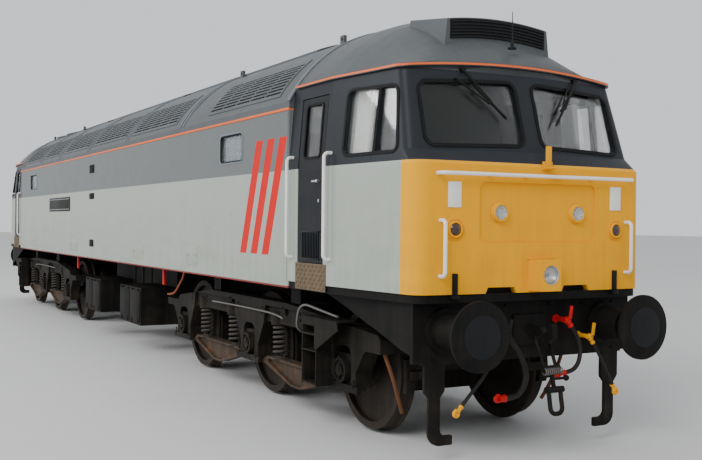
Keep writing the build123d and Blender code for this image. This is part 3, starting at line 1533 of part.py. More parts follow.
def make_axlebox(x):
    """A closed axlebox with a round cover, bored from its inner side for the journal."""
    box = block(
        x - BOX_HALF_LENGTH,
        x + BOX_HALF_LENGTH,
        -BOX_OUTER_Y,
        -BOX_INNER_Y,
        AXLE_Z - BOX_HALF_HEIGHT,
        AXLE_Z + BOX_HALF_HEIGHT,
    )
    cover = rod_y(BOX_COVER_RADIUS, x, -BOX_COVER_Y, -BOX_OUTER_Y, AXLE_Z)
    dish = rod_y(BOX_COVER_RADIUS - BOX_COVER_RIM, x, -BOX_COVER_Y - 5.0, -BOX_COVER_Y + 14.0, AXLE_Z)
    boss = rod_y(BOX_COVER_BOSS, x, -BOX_COVER_Y - 6.0, -BOX_OUTER_Y, AXLE_Z)
    bore_end = JOURNAL_END_Y + BEARING_CLEARANCE
    bore = rod_y(JOURNAL_RADIUS + BEARING_CLEARANCE, x, -bore_end, -BOX_INNER_Y + 5.0, AXLE_Z)
    return joined([box, cover - dish, boss]) - bore


def make_equaliser():
    """The fish-belly I-beam between the outer and the middle axlebox, which carries two springs."""
    seat_low = AXLE_Z - BOX_HALF_HEIGHT
    middle = AXLE_PITCH / 2
    outer_end = AXLE_PITCH + BOX_HALF_LENGTH
    rows = [
        (8.0, seat_low, 0.0),
        (8.0, BEAM_END_Z, 15.0),
        (330.0, BEAM_SHOULDER_Z, 0.0),
        (middle - BEAM_LOW_HALF, BEAM_LOW_Z, 60.0),
        (middle + BEAM_LOW_HALF, BEAM_LOW_Z, 60.0),
        (AXLE_PITCH - 330.0, BEAM_SHOULDER_Z, 0.0),
        (outer_end, BEAM_END_Z, 15.0),
        (outer_end, seat_low, 0.0),
        (AXLE_PITCH - 290.0, seat_low, 40.0),
        (AXLE_PITCH - 400.0, BEAM_SEAT_Z, 40.0),
        (400.0, BEAM_SEAT_Z, 40.0),
        (290.0, seat_low, 40.0),
    ]
    beam = soft_side_plate(rows, -FRAME_Y - BEAM_WIDTH / 2, -FRAME_Y + BEAM_WIDTH / 2)
    pocket_rows = [
        (440.0, BEAM_SEAT_Z - BEAM_FLANGE, 12.0),
        (AXLE_PITCH - 440.0, BEAM_SEAT_Z - BEAM_FLANGE, 12.0),
        (AXLE_PITCH - 410.0, BEAM_SHOULDER_Z + BEAM_FLANGE, 12.0),
        (middle + BEAM_LOW_HALF, BEAM_LOW_Z + BEAM_FLANGE, 25.0),
        (middle - BEAM_LOW_HALF, BEAM_LOW_Z + BEAM_FLANGE, 25.0),
        (410.0, BEAM_SHOULDER_Z + BEAM_FLANGE, 12.0),
    ]
    outer_y = -FRAME_Y - BEAM_WIDTH / 2
    inner_y = -FRAME_Y + BEAM_WIDTH / 2
    beam = beam - soft_side_plate(pocket_rows, outer_y - 10.0, outer_y + BEAM_POCKET)
    return beam - soft_side_plate(pocket_rows, inner_y - BEAM_POCKET, inner_y + 10.0)


def make_spring(x):
    """A coil spring on its seat, turned with a groove between its coils."""
    low = BEAM_SEAT_Z + SPRING_SEAT
    high = FRAME_SOFFIT_Z - SPRING_SEAT
    pitch = (high - low) / SPRING_TURNS
    profile = [(0.0, BEAM_SEAT_Z), (SPRING_RADIUS + 15.0, BEAM_SEAT_Z), (SPRING_RADIUS + 15.0, low)]
    for turn in range(SPRING_TURNS):
        start = low + turn * pitch
        profile.extend([
            (SPRING_CORE, start + 0.12 * pitch),
            (SPRING_RADIUS, start + 0.28 * pitch),
            (SPRING_RADIUS, start + 0.72 * pitch),
            (SPRING_CORE, start + 0.88 * pitch),
        ])
    profile.extend([(SPRING_CORE, high), (0.0, high)])
    outline = Polyline([Vector(r, 0, z) for r, z in profile], close=True)
    return Pos(x, -FRAME_Y, 0) * revolve(make_face(outline), Axis.Z)


def make_brake(axle_x, side, hang_z):
    """The two brake shoes at one side of an axle, each on its arm and hanger."""
    inner = WHEEL_RADIUS + SHOE_CLEARANCE
    outer = inner + SHOE_THICKNESS
    rise = inner * sin(radians(SHOE_ARC / 2))
    ring = rod_y(outer, axle_x, -SHOE_Y - SHOE_WIDTH / 2, -SHOE_Y + SHOE_WIDTH / 2, AXLE_Z)
    ring = ring - rod_y(inner, axle_x, -SHOE_Y - SHOE_WIDTH, -SHOE_Y + SHOE_WIDTH, AXLE_Z)
    x0, x1 = sorted((axle_x, axle_x + side * 2 * outer))
    zone = block(x0, x1, -SHOE_Y - SHOE_WIDTH, -SHOE_Y + SHOE_WIDTH, AXLE_Z - rise, AXLE_Z + rise)
    shoe = ring & zone
    x0, x1 = sorted((axle_x + side * (outer - 12.0), axle_x + side * (outer + HANGER_THICKNESS)))
    arm_y = -STRINGER_Y + STRINGER_WIDTH / 2
    arm = block(x0, x1, -SHOE_Y - 20.0, arm_y, AXLE_Z - 30.0, AXLE_Z + 50.0)
    hanger = block(x0, x1, arm_y - 30.0, arm_y, AXLE_Z + 50.0, hang_z)
    return both_sides(joined([shoe, arm, hanger]))


bogie_frame = make_bogie_frame()
bogie_sides = both_sides(make_bogie_side())
wheelset = make_wheelset()
axleboxes = []
for axle_x in (-AXLE_PITCH, 0.0, AXLE_PITCH):
    axleboxes.extend(both_sides(make_axlebox(axle_x)))
equaliser = make_equaliser()
equalisers = both_ends(both_sides(equaliser))
springs = []
for spring_x in spring_places():
    springs.extend(both_sides(make_spring(spring_x)))


def make_motor(axle_x, direction):
    """A traction motor beside its axle, one plain block."""
    near = AXLE_RADIUS + MOTOR_AXLE_GAP
    x0, x1 = sorted((axle_x + direction * near, axle_x + direction * (near + MOTOR_LENGTH)))
    return block(x0, x1, -MOTOR_HALF_WIDTH, MOTOR_HALF_WIDTH, MOTOR_LOW_Z, MOTOR_HIGH_Z)


brakes = []
for axle_x in (-AXLE_PITCH, 0.0, AXLE_PITCH):
    for side in (-1, 1):
        if axle_x == 0.0:
            hang_z = BOLSTER_LOW_Z
        elif side * axle_x > 0.0:
            hang_z = HEADSTOCK_LOW_Z
        else:
            hang_z = STRINGER_LOW_Z
        brakes.extend(make_brake(axle_x, side, hang_z))

motors = [
    make_motor(-AXLE_PITCH, 1),
    make_motor(0.0, 1),
    make_motor(AXLE_PITCH, -1),
]
for end_name, end_x, turn in (("front", PIVOT_X, 0.0), ("rear", -PIVOT_X, 180.0)):
    place = Pos(end_x, 0, 0) * Rot(0, 0, turn)
    keep(f"bogie_{end_name}_frame", place * bogie_frame)
    keep(f"bogie_{end_name}_sides", [place * shape for shape in bogie_sides])
    keep(f"bogie_{end_name}_axleboxes", [place * shape for shape in axleboxes])
    keep(f"bogie_{end_name}_equalisers", [place * shape for shape in equalisers])
    keep(f"bogie_{end_name}_springs", [place * shape for shape in springs])
    keep(f"bogie_{end_name}_brakes", [place * shape for shape in brakes])
    keep(f"bogie_{end_name}_motors", [place * shape for shape in motors])
    for number, axle_x in enumerate((-AXLE_PITCH, 0.0, AXLE_PITCH), 1):
        keep(f"wheelset_{end_name}_{number}", place * Pos(axle_x, 0, 0) * wheelset)
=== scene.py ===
# %% [markdown]
# # Diesel locomotive: looks
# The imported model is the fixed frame: it holds every main form at its real size. This script paints
# those parts and adds what is too fine for them, such as seals, wipers, bolts, coils and hoses.
# Everything is in metres, with the origin on the ground at mid length, +X towards the near cab.

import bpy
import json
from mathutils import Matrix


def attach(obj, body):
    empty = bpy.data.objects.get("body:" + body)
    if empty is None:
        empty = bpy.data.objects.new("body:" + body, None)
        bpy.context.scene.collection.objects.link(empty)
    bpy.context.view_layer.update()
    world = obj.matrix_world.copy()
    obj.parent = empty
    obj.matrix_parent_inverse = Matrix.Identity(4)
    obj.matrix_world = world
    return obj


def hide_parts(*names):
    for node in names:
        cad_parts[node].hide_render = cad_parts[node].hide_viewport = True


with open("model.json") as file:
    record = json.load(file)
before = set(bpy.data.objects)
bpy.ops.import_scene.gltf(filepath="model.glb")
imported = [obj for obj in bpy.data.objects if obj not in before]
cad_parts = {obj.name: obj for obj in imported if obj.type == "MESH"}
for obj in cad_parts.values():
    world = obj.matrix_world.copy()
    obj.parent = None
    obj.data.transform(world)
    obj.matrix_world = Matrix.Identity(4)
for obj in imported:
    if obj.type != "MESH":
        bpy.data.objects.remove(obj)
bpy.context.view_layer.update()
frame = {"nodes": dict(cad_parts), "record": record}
nodes = frame["nodes"]
print("CAD parts:", len(nodes))

# %%
# Modules and shared values
import json
import math
import random

import bmesh
import bpy
from mathutils import Matrix, Vector

RAIL = 0.028
HALF_WIDTH = 1.346
BUFFER_Y = 0.870
BUFFER_HEIGHT = 1.054
DOORS = (
    # the door's place, and its sign along and across the vehicle
    ("front_right", 1, 1), ("front_left", 1, -1), ("rear_right", -1, 1), ("rear_left", -1, -1),
)
ENDS = (("front", 1), ("rear", -1))
scene = bpy.context.scene
draw = random.Random(7)


def up(height):
    """A height above the rail, as a height above the ground."""
    return RAIL + height


def added(name, data):
    """A new object in the scene."""
    made = bpy.data.objects.new(name, data)
    scene.collection.objects.link(made)
    return made


print("rail top at", RAIL)

# %% [markdown]
# ## Camera
# The picture was taken from the right of the near end, at the height of a person's eyes. A camera
# can be aimed with a Track To constraint, but its roll is then lost, so its three axes are built
# from yaw, pitch and roll and written straight into its matrix.

# %%
# Camera
CAMERA_PLACE = (15.559, -5.332, up(1.927))
SENSOR_WIDTH = 36.0
FOCAL_PIXELS = 948.6
PICTURE_WIDTH = 702.0
yaw = math.radians(29.15)
pitch = math.radians(0.392)
roll = math.radians(0.539)
forward = Vector((
    -math.cos(yaw) * math.cos(pitch),
    math.sin(yaw) * math.cos(pitch),
    -math.sin(pitch),
))
level = forward.cross(Vector((0, 0, 1))).normalized()
upright = level.cross(forward)
right = math.cos(roll) * level + math.sin(roll) * upright
above = -math.sin(roll) * level + math.cos(roll) * upright
camera_data = bpy.data.cameras.new("camera")
camera_data.sensor_width = SENSOR_WIDTH
camera_data.lens = SENSOR_WIDTH * FOCAL_PIXELS / PICTURE_WIDTH
camera_data.clip_end = 500.0
camera = added("camera", camera_data)
turn = Matrix((right, above, -forward)).transposed().to_4x4()
camera.matrix_world = Matrix.Translation(CAMERA_PLACE) @ turn
scene.camera = camera
print("lens", round(camera_data.lens, 2), "mm")

# %% [markdown]
# ## Material helpers
# Every finish below is made of shader nodes that read Object coordinates, so it is fixed to the
# piece and needs no picture. A few short functions make the trees readable: one adds a node with
# its values and links, the others add the nodes that every tree repeats.

# %%
# Node helpers
MASK_EDGE = 0.003


def fill(tree, made, inputs):
    """Link each input of a node to a socket, or set it to a value."""
    for key, value in inputs.items():
        if isinstance(value, bpy.types.NodeSocket):
            tree.links.new(value, made.inputs[key])
        else:
            made.inputs[key].default_value = value


def node(tree, kind, inputs=None, **settings):
    """A node with its settings, its input values and its links."""
    made = tree.nodes.new(kind)
    for key, value in settings.items():
        setattr(made, key, value)
    fill(tree, made, inputs or {})
    return made


def maths(tree, operation, a, b=0.0, c=0.0, clamp=False):
    """The result of a Math node."""
    made = node(tree, "ShaderNodeMath", {0: a, 1: b, 2: c}, operation=operation, use_clamp=clamp)
    return made.outputs[0]


def mixed(tree, share, a, b):
    """A colour between a and b."""
    made = node(tree, "ShaderNodeMix", {0: share, 6: a, 7: b}, data_type="RGBA")
    return made.outputs[2]


def ramp(tree, value, low, high, start=0.0, end=1.0):
    """The value mapped from low..high to start..end, and held there."""
    made = node(tree, "ShaderNodeMapRange", {0: value, 1: low, 2: high, 3: start, 4: end}, clamp=True)
    return made.outputs[0]


def step_at(tree, value, place):
    """0 below a place and 1 above it, over the width of a masked edge."""
    return ramp(tree, value, place - MASK_EDGE / 2, place + MASK_EDGE / 2)


def between(tree, value, low, high):
    """1 between two places and 0 outside them."""
    below = maths(tree, "SUBTRACT", 1.0, step_at(tree, value, high))
    return maths(tree, "MULTIPLY", step_at(tree, value, low), below)


def bumped(tree, height, depth):
    """A normal made from a height and how deep it goes."""
    made = node(tree, "ShaderNodeBump", {"Strength": 1.0, "Distance": depth, "Height": height})
    return made.outputs[0]


def place_axes(tree):
    """Object coordinates, and their X, Y and Z."""
    coordinates = node(tree, "ShaderNodeTexCoord").outputs["Object"]
    axes = node(tree, "ShaderNodeSeparateXYZ", {0: coordinates})
    return coordinates, axes.outputs[0], axes.outputs[1], axes.outputs[2]


def noise(tree, where, scale, detail=4.0, roughness=0.55, stretch=(1.0, 1.0, 1.0)):
    """Noise from 0 to 1, stretched along the axes."""
    mapping = node(tree, "ShaderNodeMapping", {0: where, 3: stretch})
    made = node(
        tree,
        "ShaderNodeTexNoise",
        {0: mapping.outputs[0], "Scale": scale, "Detail": detail, "Roughness": roughness},
    )
    return made.outputs[0]


def srgb(red, green, blue):
    """A colour given as it looks, from 0 to 255."""
    def linear(value):
        value = value / 255.0
        return value / 12.92 if value <= 0.04045 else ((value + 0.055) / 1.055) ** 2.4

    return (linear(red), linear(green), linear(blue), 1.0)


def new_material(name):
    """A material, its tree and its shader."""
    material = bpy.data.materials.new(name)
    material.use_nodes = True
    tree = material.node_tree
    return material, tree, tree.nodes["Principled BSDF"]


print("node helpers ready")

# %% [markdown]
# ## Shared effects
# Road dirt, rust, the shallow waves of welded sheet and the rough skin of castings each turn up on
# several paints. Copying their nodes into each material would work, but a node group is built once
# and then placed with its own values. Each group gives only a mask, a colour or a normal.

# %%
# Node groups
def new_group(name, inputs, outputs):
    """A shader node group with named sockets, its tree, its input node and its output node."""
    group = bpy.data.node_groups.new(name, "ShaderNodeTree")
    kinds = {"F": "NodeSocketFloat", "V": "NodeSocketVector", "C": "NodeSocketColor"}
    for key, kind in inputs:
        group.interface.new_socket(name=key, in_out="INPUT", socket_type=kinds[kind])
    for key, kind in outputs:
        group.interface.new_socket(name=key, in_out="OUTPUT", socket_type=kinds[kind])
    return group, node(group, "NodeGroupInput"), node(group, "NodeGroupOutput")


dirt_group, given, result = new_group(
    "road dirt",
    [("Place", "V"), ("Height", "F"), ("Low", "F"), ("High", "F"), ("Amount", "F")],
    [("Mask", "F")],
)
ends = given.outputs["Low"], given.outputs["High"]
rise = ramp(dirt_group, given.outputs["Height"], *ends, 1.0, 0.14)
patch = noise(dirt_group, given.outputs["Place"], 2.2, 6.0, 0.62, (0.6, 1.0, 2.2))
streak = noise(dirt_group, given.outputs["Place"], 3.0, 3.0, 0.6, (4.0, 4.0, 0.25))
spread = ramp(dirt_group, maths(dirt_group, "MULTIPLY", patch, streak), 0.16, 0.42)
mask = maths(dirt_group, "MULTIPLY", rise, spread)
fill(dirt_group, result, {"Mask": maths(dirt_group, "MULTIPLY", mask, given.outputs["Amount"])})

rust_group, given, result = new_group(
    "rust bloom", [("Place", "V"), ("Scale", "F"), ("Cover", "F")], [("Mask", "F"), ("Colour", "C")]
)
bloom = noise(rust_group, given.outputs["Place"], given.outputs["Scale"], 8.0, 0.68)
edge = maths(rust_group, "SUBTRACT", 1.0, given.outputs["Cover"])
fine = noise(rust_group, given.outputs["Place"], 38.0, 3.0, 0.6)
fill(rust_group, result, {
    "Mask": ramp(rust_group, bloom, edge, maths(rust_group, "ADD", edge, 0.16)),
    "Colour": mixed(rust_group, fine, srgb(74, 44, 28), srgb(128, 80, 50)),
})

sheet_group, given, result = new_group(
    "sheet waves", [("Place", "V"), ("Depth", "F")], [("Normal", "V")]
)
wave = noise(sheet_group, given.outputs["Place"], 1.5, 2.0, 0.5, (1.0, 1.0, 0.7))
peel = noise(sheet_group, given.outputs["Place"], 90.0, 1.0)
height = maths(sheet_group, "MULTIPLY_ADD", peel, 0.012, wave)
fill(sheet_group, result, {"Normal": bumped(sheet_group, height, given.outputs["Depth"])})

cast_group, given, result = new_group(
    "cast skin", [("Place", "V"), ("Scale", "F"), ("Depth", "F")], [("Normal", "V")]
)
grain = noise(cast_group, given.outputs["Place"], given.outputs["Scale"], 5.0, 0.6)
fill(cast_group, result, {"Normal": bumped(cast_group, grain, given.outputs["Depth"])})


def placed(tree, group, inputs):
    """A node group placed in a material with its own values."""
    return node(tree, "ShaderNodeGroup", inputs, node_tree=group).outputs


print("groups:", len(bpy.data.node_groups))

# %% [markdown]
# ## Floor, light and background
# The locomotive stands on a plain pale floor under a soft, nearly neutral sky. The sky's colour
# comes from the world, and two large area lamps stand in for a bright cloudy sun, so shadows stay
# soft and a colour renders about as it is written.

# %%
# Floor and world
FLOOR_REACH = 150.0
floor_bm = bmesh.new()
bmesh.ops.create_grid(floor_bm, x_segments=1, y_segments=1, size=FLOOR_REACH)
floor_mesh = bpy.data.meshes.new("floor")
floor_bm.to_mesh(floor_mesh)
floor_bm.free()
floor = added("floor", floor_mesh)
floor_material, tree, shader = new_material("floor")
patches = noise(tree, place_axes(tree)[0], 0.6, 3.0)
tone = mixed(tree, patches, (0.60, 0.60, 0.59, 1.0), (0.66, 0.66, 0.65, 1.0))
fill(tree, shader, {"Base Color": tone, "Roughness": 0.9})
floor_mesh.materials.append(floor_material)

world = bpy.data.worlds.new("world")
scene.world = world
world.use_nodes = True
tree = world.node_tree
path = node(tree, "ShaderNodeLightPath")
seen = maths(tree, "MAXIMUM", path.outputs["Is Camera Ray"], path.outputs["Is Transmission Ray"])
tone = mixed(tree, seen, (0.85, 0.87, 0.90, 1.0), (0.90, 0.92, 0.95, 1.0))
fill(tree, tree.nodes["Background"], {"Color": tone, "Strength": 1.0})
print("floor and world done")


# %%
# Lamps
def area_light(name, place, target, size, power):
    """A square lamp at a place that points at a target."""
    data = bpy.data.lights.new(name, "AREA")
    data.size = size
    data.energy = power
    lamp = added(name, data)
    aim = Vector(target) - Vector(place)
    lamp.matrix_world = Matrix.Translation(place) @ aim.to_track_quat("-Z", "Y").to_matrix().to_4x4()


area_light("key", (22.0, -22.0, 20.0), (4.0, 0.0, 1.5), 14.0, 5200.0)
area_light("side", (-8.0, -24.0, 14.0), (-3.0, 0.0, 1.5), 14.0, 3600.0)
print("lamps:", len(bpy.data.lights))

# %% [markdown]
# ## Paint
# The body is satin paint on welded steel sheet: pale grey below, a darker band above, yellow noses
# and nearly black window surrounds. The colours change at straight lines, so masks made from
# Object coordinates draw them as exactly as masking tape would, and one material covers the whole
# side. Dirt rises from the rails, thickest at the lower edge.

# %%
# Colours, and the heights and place where they change
LIGHT_GREY = srgb(164, 171, 161)
BAND_GREY = srgb(108, 112, 112)
ROOF_GREY = srgb(86, 90, 92)
CAB_GREY = srgb(45, 48, 52)
YELLOW = srgb(240, 168, 12)
ORANGE = srgb(226, 108, 54)
RED = srgb(214, 20, 18)
GRIME = srgb(84, 76, 64)
SPLIT_Z = up(2.445)
YELLOW_TOP = up(2.445)
YELLOW_X = 9.05
LINE_Z = up(3.035)
SILL_LINE_Z = up(1.308)
BAR_FEET = (5.93, 6.22, 6.51)
BAR_WIDTH = 0.17
BAR_LEAN = 0.36
BAR_LOW = up(1.60)
BAR_HIGH = up(2.78)
paints = {}
print("the side changes colour at", round(SPLIT_Z, 3), "and", round(LINE_Z, 3), "m")


# %%
# Body paint
def slanted_bar(tree, x, z, foot_x):
    """A bar that leans along the body between two heights."""
    shifted = maths(tree, "MULTIPLY_ADD", maths(tree, "SUBTRACT", z, BAR_LOW), -BAR_LEAN, x)
    along = between(tree, shifted, foot_x, foot_x + BAR_WIDTH)
    return maths(tree, "MULTIPLY", along, between(tree, z, BAR_LOW, BAR_HIGH))


def body_paint(name, cab):
    """Pale grey below, a darker band above, and the nose in yellow."""
    material, tree, shader = new_material(name)
    where, x, y, z = place_axes(tree)
    length = maths(tree, "ABSOLUTE", x)
    band = step_at(tree, z, SPLIT_Z)
    tone = mixed(tree, band, LIGHT_GREY, CAB_GREY if cab else BAND_GREY)
    if cab:
        front = step_at(tree, length, YELLOW_X)
        nose = maths(tree, "SUBTRACT", front, step_at(tree, z, YELLOW_TOP), clamp=True)
        tone = mixed(tree, nose, tone, YELLOW)
    else:
        tone = mixed(tree, step_at(tree, z, LINE_Z), tone, ORANGE)
        foot = maths(tree, "SUBTRACT", 1.0, step_at(tree, z, SILL_LINE_Z))
        tone = mixed(tree, foot, tone, srgb(128, 44, 38))
        # The bars stand at one end of each side: the near end on this side, the other end beyond
        facing = maths(tree, "MULTIPLY_ADD", step_at(tree, y, 0.0), -2.0, 1.0)
        own_end = maths(tree, "MULTIPLY", x, facing)
        for foot_x in BAR_FEET:
            tone = mixed(tree, slanted_bar(tree, own_end, z, foot_x), tone, RED)
    spread = {"Place": where, "Height": z, "Low": up(1.28), "High": up(2.4), "Amount": 0.22}
    dirt = placed(tree, dirt_group, spread)
    tone = mixed(tree, dirt["Mask"], tone, GRIME)
    waves = placed(tree, sheet_group, {"Place": where, "Depth": 0.006})
    fill(tree, shader, {
        "Base Color": tone,
        "Roughness": maths(tree, "MULTIPLY_ADD", noise(tree, where, 5.0), 0.16, 0.22),
        "Specular IOR Level": 0.07,
        "Normal": waves["Normal"],
    })
    return material


paints["body_grey"] = body_paint("body paint", False)
paints["cab"] = body_paint("cab paint", True)
print("body paints:", len(paints))


# %%
# Plain paints and metals
def coat_of(
    name, colour, roughness, dirt=0.3, metallic=0.0, coat=0.0, rust=0.0, dirt_tone=GRIME, top=4.2,
    shine=0.14,
):
    """One colour with dirt from below, rust where asked, uneven gloss and a fine grain."""
    material, tree, shader = new_material(name)
    where, _, _, z = place_axes(tree)
    tone = colour
    if rust > 0.0:
        bloom = placed(tree, rust_group, {"Place": where, "Scale": 4.5, "Cover": rust})
        tone = mixed(tree, bloom["Mask"], tone, bloom["Colour"])
    spread = {"Place": where, "Height": z, "Low": 0.0, "High": top, "Amount": dirt}
    mask = placed(tree, dirt_group, spread)
    cloud = noise(tree, where, 2.5, 6.0, 0.6)
    skin = placed(tree, cast_group, {"Place": where, "Scale": 60.0, "Depth": 0.0012})
    fill(tree, shader, {
        "Base Color": mixed(tree, mask["Mask"], tone, dirt_tone),
        "Roughness": maths(tree, "MULTIPLY_ADD", cloud, 0.25, roughness - 0.12, clamp=True),
        "Metallic": metallic,
        "Coat Weight": coat,
        "Specular IOR Level": shine,
        "Normal": skin["Normal"],
    })
    return material


ROAD = srgb(74, 64, 52)
SOOT = srgb(66, 67, 66)
PAINTS = {
    # name: colour, roughness, dirt, and what differs from a plain coat
    "roof_grey": (ROOF_GREY, 0.42, 0.45, {"dirt_tone": SOOT, "top": 9.0}),
    "rib_grey": (srgb(116, 122, 126), 0.42, 0.35, {"dirt_tone": SOOT, "top": 9.0}),
    "frame_black": (
        srgb(18, 18, 18), 0.6, 0.40, {"rust": 0.26, "dirt_tone": ROAD, "top": 1.5, "shine": 0.1},
    ),
    "bogie_black": (
        srgb(25, 24, 22), 0.62, 0.50, {"rust": 0.30, "dirt_tone": ROAD, "top": 1.7, "shine": 0.1},
    ),
    "bogie_rust": (
        srgb(58, 47, 39), 0.66, 0.6, {"rust": 0.44, "dirt_tone": srgb(96, 78, 60), "top": 1.4},
    ),
    "spring_steel": (
        srgb(64, 61, 56), 0.5, 0.5, {"metallic": 0.2, "rust": 0.30, "dirt_tone": ROAD, "top": 2.0},
    ),
    "wheel_steel": (
        srgb(44, 39, 35), 0.6, 0.5, {"metallic": 0.2, "rust": 0.38, "dirt_tone": ROAD, "top": 2.0},
    ),
    "bright_steel": (srgb(196, 196, 194), 0.28, 0.2, {"metallic": 0.9}),
    "worn_steel": (srgb(120, 118, 114), 0.38, 0.5, {"metallic": 0.6, "dirt_tone": ROAD, "top": 2.0}),
    "seal_black": (srgb(22, 23, 25), 0.6, 0.12, {"shine": 0.12}),
    "matt_black": (srgb(15, 15, 16), 0.5, 0.2, {"shine": 0.2}),
    "buffer_black": (srgb(17, 18, 20), 0.34, 0.2, {"shine": 0.4, "dirt_tone": ROAD}),
    # The buffer face disc: grease, painted lighter than the buffer black as a painted highlight
    "buffer_grease": (srgb(24, 26, 29), 0.46, 0.5, {"shine": 0.16, "dirt_tone": srgb(15, 15, 16)}),
    "blind_grey": (srgb(120, 130, 138), 0.4, 0.1, {}),
    "louvre_black": (srgb(34, 36, 38), 0.5, 0.1, {}),
    "interior_grey": (srgb(124, 128, 124), 0.7, 0.2, {}),
    "door_blue_black": (srgb(18, 21, 27), 0.34, 0.12, {"shine": 0.14}),
    "tread_plate": (srgb(118, 102, 80), 0.45, 0.6, {"metallic": 0.6, "dirt_tone": ROAD}),
    "handrail_white": (srgb(240, 240, 235), 0.34, 0.15, {}),
    "nose_yellow": (YELLOW, 0.34, 0.12, {"shine": 0.1}),
    "signal_red": (srgb(196, 24, 26), 0.36, 0.25, {}),
    "signal_yellow": (srgb(240, 168, 12), 0.36, 0.25, {}),
    "plate_white": (srgb(234, 234, 229), 0.35, 0.12, {}),
    "tail_glass": (srgb(52, 8, 10), 0.12, 0.1, {"coat": 0.8, "shine": 0.5}),
    "copper": (srgb(160, 84, 50), 0.38, 0.4, {"metallic": 0.7, "dirt_tone": ROAD}),
    "rusty_pipe": (srgb(112, 70, 46), 0.6, 0.5, {"rust": 0.5, "dirt_tone": ROAD}),
    "curtain_cloth": (srgb(228, 228, 222), 0.85, 0.1, {"shine": 0.1}),
    "seat_cloth": (srgb(58, 62, 70), 0.9, 0.2, {"shine": 0.1}),
    "hose_rubber": (srgb(24, 23, 23), 0.62, 0.5, {"dirt_tone": ROAD, "top": 1.6, "shine": 0.25}),
}
for name, (colour, roughness, dirt, more) in PAINTS.items():
    paints[name] = coat_of(name.replace("_", " "), colour, roughness, dirt, **more)


GUTTER_HALF_WIDTH = 1.146
GUTTER_BEND_X = 8.80
GUTTER_RISE = 0.057


def gutter_paint():
    """A dark gutter with a narrow orange line along its lip, which rises to the middle of the nose."""
    material, tree, shader = new_material("gutter")
    where, x, y, z = place_axes(tree)
    share = maths(tree, "DIVIDE", y, GUTTER_HALF_WIDTH)
    fall = maths(tree, "MINIMUM", maths(tree, "MULTIPLY", share, share), 1.0)
    beyond = step_at(tree, maths(tree, "ABSOLUTE", x), GUTTER_BEND_X)
    rise = maths(tree, "MULTIPLY_ADD", fall, -GUTTER_RISE, GUTTER_RISE)
    rise = maths(tree, "MULTIPLY", beyond, rise)
    height = maths(tree, "SUBTRACT", z, rise)
    line = between(tree, height, up(3.239), up(3.257))
    fill(tree, shader, {
        "Base Color": mixed(tree, line, srgb(48, 50, 54), ORANGE),
        "Roughness": maths(tree, "MULTIPLY_ADD", noise(tree, where, 4.0), 0.2, 0.3),
        "Specular IOR Level": 0.3,
    })
    return material


paints["gutter_orange"] = gutter_paint()
paints["line_orange"] = coat_of("orange line", ORANGE, 0.35, 0.2)
print("paints:", len(paints))


# %%
# Glass
def glass_of(name, tint, roughness=0.02, clear=0.4):
    """Clear glass with a slightly uneven tint, which lets some light straight through."""
    material, tree, shader = new_material(name)
    cloud = noise(tree, place_axes(tree)[0], 3.0, 4.0)
    fill(tree, shader, {
        "Base Color": mixed(tree, cloud, tint, (0.9, 0.93, 0.93, 1.0)),
        "Transmission Weight": 1.0,
        "Roughness": roughness,
        "IOR": 1.45,
        "Alpha": clear,
    })
    return material


paints["window_glass"] = glass_of("window glass", (0.80, 0.86, 0.86, 1.0))
paints["lamp_glass"] = glass_of("lamp glass", (0.92, 0.94, 0.90, 1.0), 0.06, 0.3)
print("glass:", [name for name in paints if "glass" in name])

# %%
# Paint the CAD parts
record = frame["record"]
slot_of = {part["node"]: part["material_slot"] for part in record["subparts"]}
paint_of = {"cab_front": "cab", "cab_rear": "cab"}
for name, cad in nodes.items():
    material = paints.get(paint_of.get(name, slot_of[name]), paints["frame_black"])
    cad.data.materials.clear()
    cad.data.materials.append(material)
print("painted", len(nodes))

# %% [markdown]
# ## Shape helpers
# A new piece starts as a bmesh: a cube, a cone or a few vertices, which operators then shape. Each
# piece is finished the same way: its normals are made to point outwards, its mesh gets one
# material, and it is told which body it rides on and which finish it takes.

# %%
# Start and finish a piece
def finish(name, bm, paint, body="body", replaces=()):
    """Turn a bmesh into a piece that rides on a body."""
    bmesh.ops.remove_doubles(bm, verts=bm.verts, dist=0.00005)
    bmesh.ops.recalc_face_normals(bm, faces=bm.faces)
    mesh = bpy.data.meshes.new(name)
    bm.to_mesh(mesh)
    bm.free()
    mesh.shade_smooth()
    mesh.set_sharp_from_angle(angle=math.radians(35.0))
    mesh.materials.append(paints[paint])
    piece = added(name, mesh)
    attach(piece, body)
    if replaces:
        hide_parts(*replaces)
    return piece


def edges_at(verts):
    """The edges that meet at some vertices, always in the same order."""
    return list(dict.fromkeys(edge for vert in verts for edge in vert.link_edges))


def verts_in(made):
    """The vertices among what an operator made."""
    return [part for part in made["geom"] if isinstance(part, bmesh.types.BMVert)]


def add_box(bm, low, high, soft=0.0):
    """A box between two corners, with its edges bevelled."""
    size = [b - a for a, b in zip(low, high)]
    centre = [(a + b) / 2 for a, b in zip(low, high)]
    matrix = Matrix.Translation(centre) @ Matrix.Diagonal((*size, 1.0))
    made = bmesh.ops.create_cube(bm, size=1.0, matrix=matrix)
    if soft > 0.0:
        bmesh.ops.bevel(
            bm, geom=edges_at(made["verts"]), offset=soft, segments=2, profile=0.5, affect="EDGES",
            material=-1, clamp_overlap=True,
        )


def add_rod(bm, start, end, radius, sides=16, end_radius=None):
    """A round bar, or a cone, between two points."""
    start, end = Vector(start), Vector(end)
    along = end - start
    matrix = Matrix.Translation((start + end) / 2) @ along.to_track_quat("Z", "Y").to_matrix().to_4x4()
    bmesh.ops.create_cone(
        bm, cap_ends=True, segments=sides, radius1=radius,
        radius2=radius if end_radius is None else end_radius, depth=along.length, matrix=matrix,
    )


